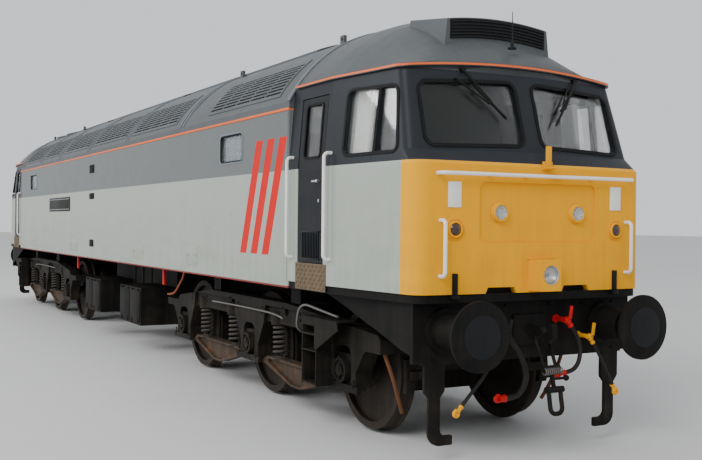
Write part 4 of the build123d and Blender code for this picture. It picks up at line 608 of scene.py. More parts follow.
def add_lathe(bm, profile, centre, axis, sides=32):
    """A turned shape. Each profile row is a radius and a distance along the axis."""
    axis = Vector(axis).normalized()
    side = axis.orthogonal().normalized()
    centre = Vector(centre)
    verts = [bm.verts.new(centre + axis * along + side * radius) for radius, along in profile]
    edges = [bm.edges.new(pair) for pair in zip(verts, verts[1:])]
    bmesh.ops.spin(
        bm, geom=verts + edges, cent=centre, axis=axis, angle=math.tau, steps=sides, use_merge=True,
    )


def mirrored(bm, axis):
    """Add the mirror image of everything across the middle plane of an axis."""
    made = bmesh.ops.duplicate(bm, geom=bm.verts[:] + bm.edges[:] + bm.faces[:])
    scale = [-1.0 if axis == letter else 1.0 for letter in "XYZ"]
    bmesh.ops.scale(bm, vec=scale, verts=verts_in(made))


def bolt_head(bm, place, axis, size=0.017):
    """A hexagon head that stands on a surface."""
    axis = Vector(axis).normalized()
    place = Vector(place)
    add_rod(bm, place - axis * size * 0.3, place + axis * size * 0.6, size, 6)


def around(count, first, radius):
    """Places spaced evenly around a circle, as steps across and up from its centre."""
    angles = [math.radians(first + 360 / count * step) for step in range(count)]
    return [(radius * math.cos(angle), radius * math.sin(angle)) for angle in angles]


def skinned(bm, rings):
    """A closed skin over a row of rings of vertices."""
    for here, there in zip(rings, rings[1:]):
        for index in range(len(here)):
            after = (index + 1) % len(here)
            bm.faces.new((here[index], here[after], there[after], there[index]))
    bm.faces.new(rings[0])
    bm.faces.new(rings[-1])


def poured_in(bm, part):
    """Add one bmesh to another."""
    mesh = bpy.data.meshes.new("part")
    part.to_mesh(mesh)
    part.free()
    bm.from_mesh(mesh)
    bpy.data.meshes.remove(mesh)


def tube_piece(name, points, radius, paint, body="body", roundness=3, steps=8):
    """A round tube along a smooth curve through control points."""
    curve = bpy.data.curves.new(name, "CURVE")
    curve.dimensions = "3D"
    curve.bevel_depth = radius
    curve.bevel_resolution = roundness
    curve.resolution_u = steps
    curve.use_fill_caps = True
    spline = curve.splines.new("NURBS")
    spline.points.add(len(points) - 1)
    for control, point in zip(spline.points, points):
        control.co = (*point, 1.0)
    spline.order_u = 3
    spline.use_endpoint_u = True
    curve.materials.append(paints[paint])
    piece = added(name, curve)
    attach(piece, body)
    return piece


def at_ends(name, bm, paint, replaces=()):
    """A near-end piece, and the same piece turned about for the far end."""
    far = bm.copy()
    bmesh.ops.scale(far, vec=(-1, -1, 1), verts=far.verts)
    finish(f"{name}_front", bm, paint, "body", replaces)
    finish(f"{name}_rear", far, paint, "body", replaces)


def on_both_sides(name, bm, paint):
    """The same shapes on both sides, as one piece."""
    mirrored(bm, "Y")
    finish(name, bm, paint, "body")


def at_corners(name, bm, paint):
    """The same shapes on both sides at both ends, as one piece."""
    mirrored(bm, "Y")
    mirrored(bm, "X")
    finish(name, bm, paint, "body")


print("shape helpers ready")

# %% [markdown]
# ## Air hoses
# Four brake and air hoses hang from cocks on the near buffer beam, each with a metal coupling head
# in red or yellow. A hose is a fixed length of rubber that hangs in one smooth line, so each is a
# NURBS curve with a round bevel, through the same control points as its solid in the CAD model.

# %%
# Hose routes: name, radius, head colour, and points seen from the front
HOSE_X = 9.30
HOSES = {
    "main_red": (0.025, "signal_red", (
        (-0.300, 0.990), (-0.212, 0.885), (-0.154, 0.776), (-0.134, 0.664), (-0.173, 0.567),
        (-0.259, 0.509), (-0.359, 0.511),
    )),
    "main_yellow": (0.015, "signal_yellow", (
        (-0.445, 0.985), (-0.480, 0.868), (-0.545, 0.752), (-0.632, 0.650), (-0.722, 0.566),
        (-0.800, 0.482),
    )),
    "side_red": (0.019, "signal_red", (
        (0.356, 1.082), (0.424, 1.0035), (0.461, 0.9125), (0.467, 0.821), (0.437, 0.738),
        (0.367, 0.688), (0.287, 0.682),
    )),
    "side_yellow": (0.015, "signal_yellow", (
        (0.614, 0.921), (0.682, 0.828), (0.738, 0.730), (0.789, 0.632), (0.846, 0.540),
    )),
}
print("hose routes:", len(HOSES))


# %%
# Coupling heads
def hose_head(name, radius, paint, route):
    """A ferrule in line with the hose, and the round face of the coupling with its lip."""
    before = Vector((HOSE_X, *route[-2]))
    end = Vector((HOSE_X, *route[-1]))
    along = (end - before).normalized()
    bm = bmesh.new()
    wall = radius + 0.007
    add_lathe(bm, [
        (0.0, -0.002), (wall, -0.002), (wall, 0.012), (radius + 0.002, 0.018),
        (radius + 0.002, 0.042), (wall, 0.048), (wall, 0.062), (0.0, 0.070),
    ], end, along, 20)
    middle = end + along * 0.078
    add_lathe(bm, [
        (0.0, -0.016), (0.026, -0.016), (0.034, -0.009), (0.034, 0.006), (0.027, 0.015),
        (0.021, 0.015), (0.018, 0.006), (0.0, 0.006),
    ], middle, (1, 0, 0), 24)
    lug = middle + Vector((0.004, 0.0, 0.030))
    add_box(bm, lug - Vector((0.012, 0.014, 0.012)), lug + Vector((0.012, 0.014, 0.012)), 0.004)
    return finish(f"hose_head_{name}", bm, paint, "body", ("hose_heads",))


# %%
# Hoses
def hose(name, radius, paint, route):
    """One hanging hose with its coupling head."""
    points = [Vector((HOSE_X, y, z)) for y, z in route]
    piece = tube_piece(f"hose_{name}", points, radius, "hose_rubber", roundness=5, steps=10)
    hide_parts(f"hose_{name}")
    head = hose_head(name, radius, paint, route)
    runs = [(b - a).length for a, b in zip(points, points[1:])]
    return sum(runs)


for name, (radius, paint, route) in HOSES.items():
    print("hose", name, round(hose(name, radius, paint, route), 3), "m")


# %%
# Cocks on the buffer beam
BEAM_X = 9.15


def air_cock(name, radius, paint, route):
    """The pipe from the beam, the cock's body in line with the hose, and its lever."""
    top = Vector((HOSE_X, *route[0]))
    below = Vector((HOSE_X, *route[1]))
    back = (top - below).normalized()
    wall = radius + 0.007
    start = top + back * 0.075
    bm = bmesh.new()
    add_lathe(bm, [
        (0.0, 0.0), (wall, 0.0), (wall, 0.016), (wall - 0.004, 0.020), (wall - 0.004, 0.040),
        (wall + 0.004, 0.048), (wall + 0.004, 0.085), (wall * 0.6, 0.098), (0.0, 0.100),
    ], top, back, 20)
    add_rod(bm, (BEAM_X - 0.002, start.y, start.z), (HOSE_X, start.y, start.z), wall * 0.82, 18)
    add_rod(bm, (BEAM_X - 0.002, start.y, start.z), (BEAM_X + 0.018, start.y, start.z), wall * 1.5, 6)
    add_rod(bm, start, start + Vector((0.03, 0.0, 0.022)), wall * 0.5, 12)
    lever_foot = start + Vector((0.03, 0.0, 0.018))
    add_rod(bm, start - Vector((0.0, 0.030, 0.0)), start + Vector((0.0, 0.030, 0.0)), wall * 0.95, 14)
    lever = bmesh.new()
    add_box(lever, (-0.005, -0.017, -0.006), (0.005, 0.017, 0.105), 0.003)
    tilt = Matrix.Rotation(math.radians(-9), 3, "X")
    bmesh.ops.rotate(lever, cent=(0, 0, 0), matrix=tilt, verts=lever.verts)
    bmesh.ops.translate(lever, vec=lever_foot + Vector((0.0, 0.012, 0.0)), verts=lever.verts)
    poured_in(bm, lever)
    finish(f"air_cock_{name}", bm, paint, "body", ("air_cocks",))


for name, (radius, paint, route) in HOSES.items():
    paint = "matt_black" if name.startswith("main") else paint
    air_cock(name, radius, paint, route)
print("cocks:", len(HOSES))

# %% [markdown]
# ## Window seals
# Each pane sits in a black rubber seal that stands a little proud of the steel. An outline with
# rounded corners is made from four corners by bevelling its vertices, inset makes the band, and
# the band is then laid on the cab's own leaning and curved surface before it gets its thickness.

# %%
# The cab's surface, from the same plan as the CAD model
NOSE_X = 9.262
CAB_ROWS = (
    # height, half width at the door, corner x, corner y, middle x
    (up(1.360), HALF_WIDTH, NOSE_X, 1.226, 9.300),
    (up(2.420), HALF_WIDTH, NOSE_X, 1.226, 9.300),
    (up(2.545), 1.338, 9.100, 1.212, 9.216),
    (up(3.230), 1.282, 8.903, 1.146, 9.012),
)
TAPER_X = 7.96


def cab_row(z):
    """The cab's plan values at a height."""
    for low, high in zip(CAB_ROWS, CAB_ROWS[1:]):
        if z <= high[0] or high is CAB_ROWS[-1]:
            share = (z - low[0]) / (high[0] - low[0])
            return [a + share * (b - a) for a, b in zip(low[1:], high[1:])]


def on_side(x, z, proud=0.0):
    """The point on the right side of the near cab at a place along it."""
    door_y, corner_x, corner_y, _ = cab_row(z)
    share = max(x - TAPER_X, 0.0) / (corner_x - TAPER_X)
    return Vector((x, -(door_y + (corner_y - door_y) * share) - proud, z))


def on_front(y, z, proud=0.0):
    """The point on the near cab's front at a place across it."""
    _, corner_x, corner_y, middle_x = cab_row(z)
    bow = middle_x - corner_x
    radius = (bow**2 + corner_y**2) / (2 * bow)
    return Vector((middle_x - radius + math.sqrt(radius**2 - y**2) + proud, y, z))


print("side at the window", tuple(round(v, 3) for v in on_side(8.5, up(2.8))))


# %%
# A seal around one opening
LONG_EDGE = 0.16


def window_seal(bm, corners, radius, place, width=0.036, grow=0.014, thickness=0.010):
    """A band with rounded corners around an opening, laid on a surface."""
    mid_a = sum(a for a, b in corners) / len(corners)
    mid_b = sum(b for a, b in corners) / len(corners)
    part = bmesh.new()
    verts = [
        part.verts.new((a + math.copysign(grow, a - mid_a), b + math.copysign(grow, b - mid_b), 0.0))
        for a, b in corners
    ]
    part.faces.new(verts)
    bmesh.ops.bevel(
        part, geom=verts, offset=radius + grow, segments=7, profile=0.5, affect="VERTICES",
        material=-1, clamp_overlap=True,
    )
    # Long edges are cut, so that the band can follow a curved surface
    long_edges = [edge for edge in part.edges if edge.calc_length() > LONG_EDGE]
    bmesh.ops.subdivide_edges(part, edges=long_edges, cuts=9)
    inner = list(part.faces)
    bmesh.ops.inset_region(
        part, faces=inner, thickness=width, use_boundary=True, use_even_offset=True,
    )
    bmesh.ops.delete(part, geom=inner, context="FACES")
    for vert in part.verts:
        vert.co = place(vert.co.x, vert.co.y)
    bmesh.ops.recalc_face_normals(part, faces=part.faces)
    bmesh.ops.solidify(part, geom=part.faces[:], thickness=thickness)
    poured_in(bm, part)


SIDE_PANE = ((8.190, 2.525), (8.970, 2.525), (8.880, 3.085), (8.200, 3.105))
SIDE_BAR_X = 8.650
WINDSCREEN = ((0.090, 2.600), (1.055, 2.572), (1.040, 3.120), (0.090, 3.165))
DOOR_PANE = ((7.455, 2.540), (7.785, 2.540), (7.785, 3.040), (7.455, 3.040))
BODY_PANE = ((5.330, 2.600), (5.970, 2.600), (5.970, 2.900), (5.330, 2.900))


def on_body(proud):
    """The place on the right body side for a point of an outline, standing off by a distance."""
    return lambda a, b: Vector((a, -HALF_WIDTH - proud, up(b)))


bm = bmesh.new()
window_seal(bm, SIDE_PANE, 0.07, lambda a, b: on_side(a, up(b), 0.009), width=0.028)
low_bar, high_bar = on_side(SIDE_BAR_X, up(2.515)), on_side(SIDE_BAR_X, up(3.100))
for shift in (-0.012, 0.0, 0.012):
    step = Vector((shift, 0.0, 0.0))
    add_rod(bm, low_bar + step, high_bar + step, 0.010, 8)
window_seal(
    bm, WINDSCREEN, 0.085, lambda a, b: on_front(a, up(b), 0.010), width=0.030, thickness=0.013,
)
at_corners("cab_window_seals", bm, "seal_black")

bm = bmesh.new()
window_seal(bm, BODY_PANE, 0.05, on_body(0.006), width=0.014, grow=0.020)
at_corners("body_window_frames", bm, "blind_grey")

bm = bmesh.new()
window_seal(bm, BODY_PANE, 0.05, on_body(0.004), width=0.016, grow=0.006)
at_corners("body_window_seals", bm, "seal_black")

bm = bmesh.new()
add_box(bm, (5.30, -1.306, up(2.57)), (6.00, -1.298, up(2.93)), 0.002)
at_corners("body_window_blinds", bm, "blind_grey")

for place, along, across in DOORS:
    bm = bmesh.new()
    window_seal(bm, DOOR_PANE, 0.045, lambda a, b: on_side(a, up(b), 0.002), width=0.024)
    bmesh.ops.scale(bm, vec=(along, across, 1), verts=bm.verts)
    finish(f"door_window_seal_{place}", bm, "seal_black", f"door_{place}")
print("seals: cabs, body windows and", len(DOORS), "doors")

# %% [markdown]
# ## Windscreen wipers
# Two pantograph wipers hang from pivots above each windscreen pair, standing off the glass. Thin
# bars between measured points are enough: a main arm, a steadying arm, and a blade that carries a
# rubber edge against the glass.

# %%
# Wipers
WIPERS = (
    # pivot, arm foot, second pivot, second foot and the blade's two ends, as Y and height
    ((-0.610, 3.235), (-0.391, 2.969), (-0.689, 3.149), (-0.425, 2.953), (-0.536, 3.107),
     (-0.261, 2.829)),
    ((0.630, 3.235), (0.437, 2.973), (0.506, 3.149), (0.371, 2.941), (0.549, 3.124),
     (0.283, 2.802)),
)


def lifted(point, proud):
    """A point over the windscreen, by its Y and height."""
    return on_front(point[0], up(point[1]), proud)


bm = bmesh.new()
for pivot, foot, second, second_foot, blade_a, blade_b in WIPERS:
    top = lifted(pivot, 0.030)
    add_rod(bm, lifted(pivot, -0.02), top + Vector((0.012, 0, 0)), 0.020, 14)
    add_rod(bm, top, lifted(foot, 0.042), 0.012, 8, 0.009)
    add_rod(bm, lifted(second, -0.02), lifted(second, 0.040), 0.012, 10)
    add_rod(bm, lifted(second, 0.034), lifted(second_foot, 0.046), 0.008, 8)
    ends = lifted(blade_a, 0.034), lifted(blade_b, 0.034)
    add_rod(bm, ends[0], ends[1], 0.011, 6)
    rubber = lifted(blade_a, 0.020), lifted(blade_b, 0.020)
    add_rod(bm, rubber[0], rubber[1], 0.006, 4)
    add_rod(bm, lifted(foot, 0.040), lifted(second_foot, 0.040), 0.015, 10)
at_ends("wipers", bm, "matt_black")
print("wipers: 4")

# %% [markdown]
# ## Roof seams
# The body roof is made of lift-off sections, and each joint between them shows as a raised rib that
# follows the roof's arc. A small rectangle spun about the roof's axis gives exactly that arc.

# %%
# Ribs across the roof
ROOF_RADIUS = 1.53004
ROOF_AXIS_Z = up(3.925) - ROOF_RADIUS
ROOF_SPRING = math.asin(HALF_WIDTH / ROOF_RADIUS)


def roof_arc(bm, x0, x1, low, high):
    """A band across the roof between two places along it and two rises over it."""
    axis = Vector((0, 0, ROOF_AXIS_Z))
    corners = [(x0, low), (x1, low), (x1, high), (x0, high)]
    verts = []
    for x, rise in corners:
        radius = ROOF_RADIUS + rise
        y = radius * math.sin(-ROOF_SPRING)
        verts.append(bm.verts.new((x, y, ROOF_AXIS_Z + radius * math.cos(-ROOF_SPRING))))
    edges = [bm.edges.new(pair) for pair in zip(verts, verts[1:] + verts[:1])]
    bmesh.ops.spin(
        bm, geom=verts + edges, cent=axis, axis=(-1, 0, 0), angle=2 * ROOF_SPRING, steps=40,
    )
    bmesh.ops.holes_fill(bm, edges=[edge for edge in bm.edges if edge.is_boundary], sides=4)


SEAMS = (3.97, 1.45, -0.87, -3.18, -4.95, -6.85)
bm = bmesh.new()
for seam in SEAMS:
    for shift in (-0.055, 0.055):
        roof_arc(bm, seam + shift - 0.014, seam + shift + 0.014, -0.004, 0.011)
roof_arc(bm, 7.120, 7.165, -0.004, 0.013)
roof_arc(bm, -7.165, -7.120, -0.004, 0.013)
finish("roof_ribs", bm, "rib_grey", "body")

bm = bmesh.new()
for y in (-1.3485, 1.3485):
    add_box(bm, (-7.15, y - 0.0045, up(3.034)), (7.15, y + 0.0045, up(3.060)), 0.002)
finish("cantrail_strips", bm, "line_orange", "body")
print("seams:", len(SEAMS) + 2)


# %%
# Louvres of the horn hoods
HOOD_CROWN = up(3.780)
HOOD_DROP = 0.045
HOOD_HALF = 0.56
STRIP_STEPS = 16


def arched_strip(bm, x0, x1, low, high, half):
    """A strip across the hood that follows its arched top."""
    stations = []
    for step in range(STRIP_STEPS + 1):
        y = half * (2 * step / STRIP_STEPS - 1)
        fall = HOOD_DROP * (y / HOOD_HALF) ** 2
        corners = ((x0, low), (x1, low), (x1, high), (x0, high))
        stations.append([bm.verts.new((x, y, z - fall)) for x, z in corners])
    skinned(bm, stations)


backing, blades = bmesh.new(), bmesh.new()
arched_strip(backing, 8.697, 8.7035, HOOD_CROWN - 0.182, HOOD_CROWN - 0.010, 0.530)
for row in range(6):
    low = HOOD_CROWN - 0.176 + 0.028 * row
    arched_strip(blades, 8.702, 8.716, low, low + 0.009, 0.524)
at_ends("louvre_backing", backing, "matt_black")
at_ends("louvre_blades", blades, "louvre_black")
print("louvres: 6 at each end")

# %% [markdown]
# ## Coil springs
# Each bogie rests on eight coil springs over its equaliser beams. In the CAD model a spring is one
# grooved bar. A real coil is a round wire carried around and upwards, which is what spin makes from
# a circle when each step also gets a small rise.

# %%
# Springs of both bogies
PIVOT_X = 5.639
SPRING_PLACES = (-1.575, -0.635, 0.635, 1.575)
SPRING_LOW = up(0.488)
SPRING_HIGH = up(0.832)


def coil(bm, x, y, radius, wire, turns, low, high):
    """A round wire wound around an upright axis."""
    made = bmesh.ops.create_circle(
        bm, segments=8, radius=wire,
        matrix=Matrix.Translation((x + radius, y, low + wire)) @ Matrix.Rotation(math.pi / 2, 4, "X"),
    )
    steps = 20 * turns
    rise = (high - low - 2 * wire) / steps
    bmesh.ops.spin(
        bm, geom=made["verts"] + edges_at(made["verts"]), cent=(x, y, 0.0), axis=(0, 0, 1),
        dvec=(0, 0, rise), angle=math.tau * turns, steps=steps,
    )
    edges = [edge for edge in bm.edges if edge.is_boundary]
    bmesh.ops.holes_fill(bm, edges=edges, sides=8)


for end, along in ENDS:
    bm = bmesh.new()
    for shift in SPRING_PLACES:
        for y in (-1.0, 1.0):
            x = along * (PIVOT_X + shift)
            coil(bm, x, y, 0.078, 0.0165, 6, SPRING_LOW, SPRING_HIGH)
            add_lathe(bm, [
                (0.0, 0.0), (0.110, 0.0), (0.110, 0.012), (0.100, 0.018), (0.055, 0.018),
                (0.050, 0.026), (0.0, 0.026),
            ], (x, y, up(0.470)), (0, 0, 1), 24)
    finish(
        f"coil_springs_{end}", bm, "spring_steel", f"bogie_{end}",
        (f"bogie_{end}_springs",),
    )
    print("springs on the", end, "bogie: 8")

# %% [markdown]
# ## Lamps and nose fittings
# Lamps are turned parts: a bezel, a polished bowl, a bulb and a glass. Each is a profile spun about
# the lamp's axis. The tail lamps are dark red glass in a yellow ring, and the headlamp stands in its
# own box. The two white plates are left blank.

# %%
# Lamps
PANEL_X = 9.272
MARKER = (PANEL_X, 0.420, up(2.030))
TAIL = (PANEL_X, 0.875, up(1.888))
HEADLAMP = (9.450, 0.0, up(1.510))
SCREW_RING = 0.079
bezels, bowls, lenses, red_lenses = bmesh.new(), bmesh.new(), bmesh.new(), bmesh.new()
for across in (-1, 1):
    x, y, z = MARKER
    place = (x, across * y, z)
    add_lathe(bezels, [
        (0.0, 0.002), (0.086, 0.002), (0.086, 0.010), (0.080, 0.016), (0.078, 0.034), (0.072, 0.040),
        (0.064, 0.040), (0.060, 0.034), (0.060, 0.010), (0.0, 0.010),
    ], place, (1, 0, 0), 40)
    for aside, rise in around(4, 45, SCREW_RING):
        screw_y, screw_z = across * y + aside, z + rise
        add_rod(bezels, (x + 0.006, screw_y, screw_z), (x + 0.020, screw_y, screw_z), 0.008, 10)
    add_lathe(bowls, [
        (0.0, 0.011), (0.024, 0.013), (0.046, 0.022), (0.0585, 0.033), (0.0585, 0.0335),
        (0.044, 0.0235), (0.023, 0.0145), (0.0, 0.0125),
    ], place, (1, 0, 0), 32)
    add_lathe(lenses, [
        (0.0, 0.034), (0.059, 0.034), (0.059, 0.037), (0.045, 0.041), (0.024, 0.044), (0.0, 0.045),
    ], place, (1, 0, 0), 32)
    x, y, z = TAIL
    place = on_front(across * y, z)
    outward = place - on_front(across * (y - 0.02), z)
    facing = Vector((outward.y * across, -outward.x * across, 0.0)).normalized()
    add_lathe(bezels, [
        (0.0, -0.012), (0.090, -0.012), (0.090, 0.008), (0.084, 0.012), (0.078, 0.004), (0.073, 0.004),
        (0.070, 0.022), (0.062, 0.028), (0.052, 0.024), (0.050, 0.006), (0.0, 0.006),
    ], place, facing, 40)
    add_lathe(red_lenses, [
        (0.0, 0.008), (0.048, 0.008), (0.048, 0.020), (0.040, 0.029), (0.022, 0.035), (0.0, 0.037),
    ], place, facing, 28)
    bolt_head(bezels, (x + 0.006, across * (y - 0.105), z - 0.02), (1, 0, 0), 0.007)

add_lathe(bowls, [
    (0.0, -0.056), (0.030, -0.054), (0.055, -0.040), (0.070, -0.018), (0.0745, 0.0), (0.080, 0.004),
    (0.0815, -0.002), (0.0815, -0.010), (0.076, -0.012), (0.071, -0.024), (0.056, -0.045),
    (0.030, -0.0585), (0.0, -0.0595),
], HEADLAMP, (1, 0, 0), 44)
add_lathe(bowls, [(0.0, -0.050), (0.012, -0.050), (0.014, -0.034), (0.009, -0.022), (0.0, -0.020)],
          HEADLAMP, (1, 0, 0), 16)
add_lathe(lenses, [
    (0.0, -0.002), (0.073, -0.002), (0.073, 0.002), (0.060, 0.006), (0.035, 0.009), (0.0, 0.010),
], HEADLAMP, (1, 0, 0), 40)
at_ends("lamp_bezels", bezels, "nose_yellow", ("lamps",))
at_ends("lamp_bowls", bowls, "bright_steel", ("lamps",))
at_ends("lamp_lenses", lenses, "lamp_glass", ("lamps",))
at_ends("tail_lamp_lenses", red_lenses, "tail_glass", ("lamps",))
print("lamps: 5 at each end")


# %%
# Fittings on the nose
bm = bmesh.new()
for across in (-1, 1):
    place = on_front(across * TAIL[1], up(2.17))
    add_box(bm, place - Vector((0.010, 0.063, 0.104)), place + Vector((0.007, 0.063, 0.104)), 0.002)
at_ends("nose_plates", bm, "plate_white")

bm = bmesh.new()
add_box(bm, (9.302, 0.013, up(2.395)), (9.316, 0.117, up(2.470)), 0.003)
add_box(bm, (9.312, 0.020, up(2.405)), (9.405, 0.110, up(2.420)), 0.003)
add_box(bm, (9.318, 0.035, up(2.415)), (9.330, 0.095, up(2.600)), 0.003)
for y in (-0.55, -0.18, 0.18, 0.55):
    place = on_front(y, up(2.333))
    add_rod(bm, place, place + Vector((0.028, 0.0, 0.004)), 0.012, 12)
at_ends("nose_bracket", bm, "nose_yellow")

# The headlamp's box: a plate with a round hole, drawn back into a box that tapers to the nose
bm = bmesh.new()
BOX_FRONT_X = HEADLAMP[0]
BOX_CORNERS = ((-0.108, 1.376), (0.108, 1.376), (0.108, 1.640), (-0.108, 1.640))
verts = [bm.verts.new((BOX_FRONT_X, y, up(z))) for y, z in BOX_CORNERS]
rim = [bm.edges.new(pair) for pair in zip(verts, verts[1:] + verts[:1])]
turned = Matrix.Translation(HEADLAMP) @ Matrix.Rotation(math.pi / 2, 4, "Y")
hole = bmesh.ops.create_circle(bm, segments=44, radius=0.0818, matrix=turned)
hole_edges = edges_at(hole["verts"])
bmesh.ops.triangle_fill(bm, edges=rim + hole_edges, use_beauty=True)
for vert in verts_in(bmesh.ops.extrude_edge_only(bm, edges=rim)):
    vert.co.x = NOSE_X
    vert.co.y *= 1.18
for vert in verts_in(bmesh.ops.extrude_edge_only(bm, edges=hole_edges)):
    vert.co.x = BOX_FRONT_X - 0.055
bmesh.ops.recalc_face_normals(bm, faces=bm.faces)
bmesh.ops.solidify(bm, geom=bm.faces[:], thickness=0.003)
add_box(bm, (NOSE_X, -0.140, up(1.640)), (9.320, 0.140, up(1.656)), 0.004)
for y in (-0.092, 0.092):
    for z in (1.398, 1.620):
        bolt_head(bm, (9.451, y, up(z)), (1, 0, 0), 0.008)
at_ends("headlamp_box", bm, "nose_yellow", ("headlamp_boxes",))

bm = bmesh.new()
for across in (-1, 1):
    y = across * BUFFER_Y
    add_box(bm, (NOSE_X, y - 0.022, up(1.330)), (9.302, y + 0.022, up(1.530)), 0.004)
    add_box(bm, (NOSE_X, y - 0.036, up(1.322)), (9.312, y + 0.036, up(1.350)), 0.004)
at_ends("nose_lugs", bm, "matt_black")

bm = bmesh.new()
add_lathe(bm, [
    (0.0, 0.0), (0.040, 0.0), (0.040, 0.010), (0.016, 0.020), (0.013, 0.075), (0.006, 0.085),
    (0.0035, 0.33), (0.0, 0.332),
], (8.90, 0.0, up(3.485)), (0, 0, 1), 14)
finish("aerial", bm, "matt_black")
print("nose fittings done")

# %% [markdown]
# ## Body sides
# Small things on a flat side carry much of its look: a blank plate, vents, access covers with
# their catches, the door's grille and handle, and curtains behind the cab's side windows.

# %%
# Side fittings
SIDE_Y = -HALF_WIDTH


def side_panel(bm, x, z, half_x, half_z, proud):
    """A flat panel on the right side, from a little inside the wall to a distance outside it."""
    low = (x - half_x, SIDE_Y - proud, up(z - half_z))
    add_box(bm, low, (x + half_x, SIDE_Y + 0.002, up(z + half_z)), 0.002)


bm = bmesh.new()
add_box(bm, (-3.98, SIDE_Y - 0.010, up(2.11)), (-2.21, SIDE_Y + 0.002, up(2.37)), 0.003)
on_both_sides("side_plates", bm, "matt_black")

bm = bmesh.new()
for low, high in ((2.14, 2.15), (2.33, 2.34)):
    add_box(bm, (-3.94, SIDE_Y - 0.013, up(low)), (-2.25, SIDE_Y - 0.008, up(high)), 0.001)
for x in (-3.95, -2.24):
    for z in (2.13, 2.35):
        bolt_head(bm, (x, SIDE_Y - 0.009, up(z)), (0, -1, 0), 0.007)
on_both_sides("side_plate_trim", bm, "bright_steel")

# Vents and covers: middle along and up, half length and half height
VENTS = ((-0.60, 2.81, 0.15, 0.07), (-0.60, 2.35, 0.15, 0.05), (-0.60, 1.556, 0.13, 0.06))
COVERS = (
    (-5.60, 1.50, 0.22, 0.10), (-1.90, 1.50, 0.26, 0.11), (2.10, 1.50, 0.26, 0.11),
    (4.40, 1.52, 0.20, 0.12),
)
bm = bmesh.new()
for x, z, half_x, half_z in VENTS:
    side_panel(bm, x, z, half_x, half_z, 0.006)
    for row in range(5):
        height = up(z - half_z) + (row + 0.7) * half_z / 3
        low = (x - half_x + 0.012, SIDE_Y - 0.014, height)
        add_box(bm, low, (x + half_x - 0.012, SIDE_Y - 0.004, height + 0.010), 0.002)
on_both_sides("side_vents", bm, "seal_black")

bm = bmesh.new()
for x, z, half_x, half_z in COVERS:
    side_panel(bm, x, z, half_x, half_z, 0.005)
    for shift in (-0.7, 0.7):
        catch_x = x + shift * half_x
        add_rod(bm, (catch_x, SIDE_Y - 0.003, up(z)), (catch_x, SIDE_Y - 0.012, up(z)), 0.014, 14)
on_both_sides("side_covers", bm, "body_grey")

bm = bmesh.new()
for x in (-7.12, 7.12):
    add_box(bm, (x - 0.010, SIDE_Y - 0.006, up(1.36)), (x + 0.010, SIDE_Y + 0.002, up(3.03)), 0.002)
on_both_sides("side_seams", bm, "body_grey")

TREAD_START = Vector((7.365, -1.3555, up(1.325)))
TREAD_PITCH = (0.0424, 0.040)
bm = bmesh.new()
for row in range(6):
    for column in range(14):
        lean = 1 if (row + column) % 2 else -1
        centre = TREAD_START + Vector((TREAD_PITCH[0] * column, 0.0, TREAD_PITCH[1] * row))
        tread = Vector((0.011 * lean, 0.0, 0.011))
        add_rod(bm, centre - tread, centre + tread, 0.0035, 4)
at_corners("sill_plate_treads", bm, "tread_plate")
print("vents:", len(VENTS), "and covers:", len(COVERS), "on each side")


# %%
# Door furniture
DOOR_Y = -1.341
for place, along, across in DOORS:
    grille = bmesh.new()
    for column in range(11):
        x = 7.455 + 0.033 * column
        low = (x - 0.005, DOOR_Y - 0.007, up(1.60))
        add_box(grille, low, (x + 0.005, DOOR_Y + 0.004, up(1.84)), 0.0015)
    for low, high in ((1.585, 1.600), (1.840, 1.855)):
        add_box(grille, (7.435, DOOR_Y - 0.009, up(low)), (7.805, DOOR_Y + 0.004, up(high)), 0.002)
    bmesh.ops.scale(grille, vec=(along, across, 1), verts=grille.verts)
    finish(f"door_grille_{place}", grille, "door_blue_black", f"door_{place}")
    handle = bmesh.new()
    add_box(handle, (7.690, DOOR_Y - 0.034, up(2.305)), (7.800, DOOR_Y - 0.016, up(2.325)), 0.005)
    add_rod(handle, (7.786, DOOR_Y + 0.002, up(2.315)), (7.786, DOOR_Y - 0.026, up(2.315)), 0.016, 14)
    add_lathe(handle, [
        (0.0, 0.0), (0.016, 0.0), (0.016, 0.005), (0.0, 0.006),
    ], (7.786, DOOR_Y, up(2.135)), (0, -1, 0), 16)
    bmesh.ops.scale(handle, vec=(along, across, 1), verts=handle.verts)
    finish(f"door_handle_{place}", handle, "bright_steel", f"door_{place}")
print("door furniture: 8")

# %% [markdown]
# ## Curtains
# A pleated curtain hangs inside each cab side window. It is one sheet gathered on its rail, so its
# edge is a wave, extruded down and a little slack at the foot.

# %%
# Curtains
CURTAIN_TOP = up(3.12)
CURTAIN_LOW = up(2.50)
CURTAIN_X = 8.215
CURTAIN_WIDTH = 0.27
BEHIND_GLASS = 0.088
PLEATS = 5.5
PLEAT_DEPTH = 0.017


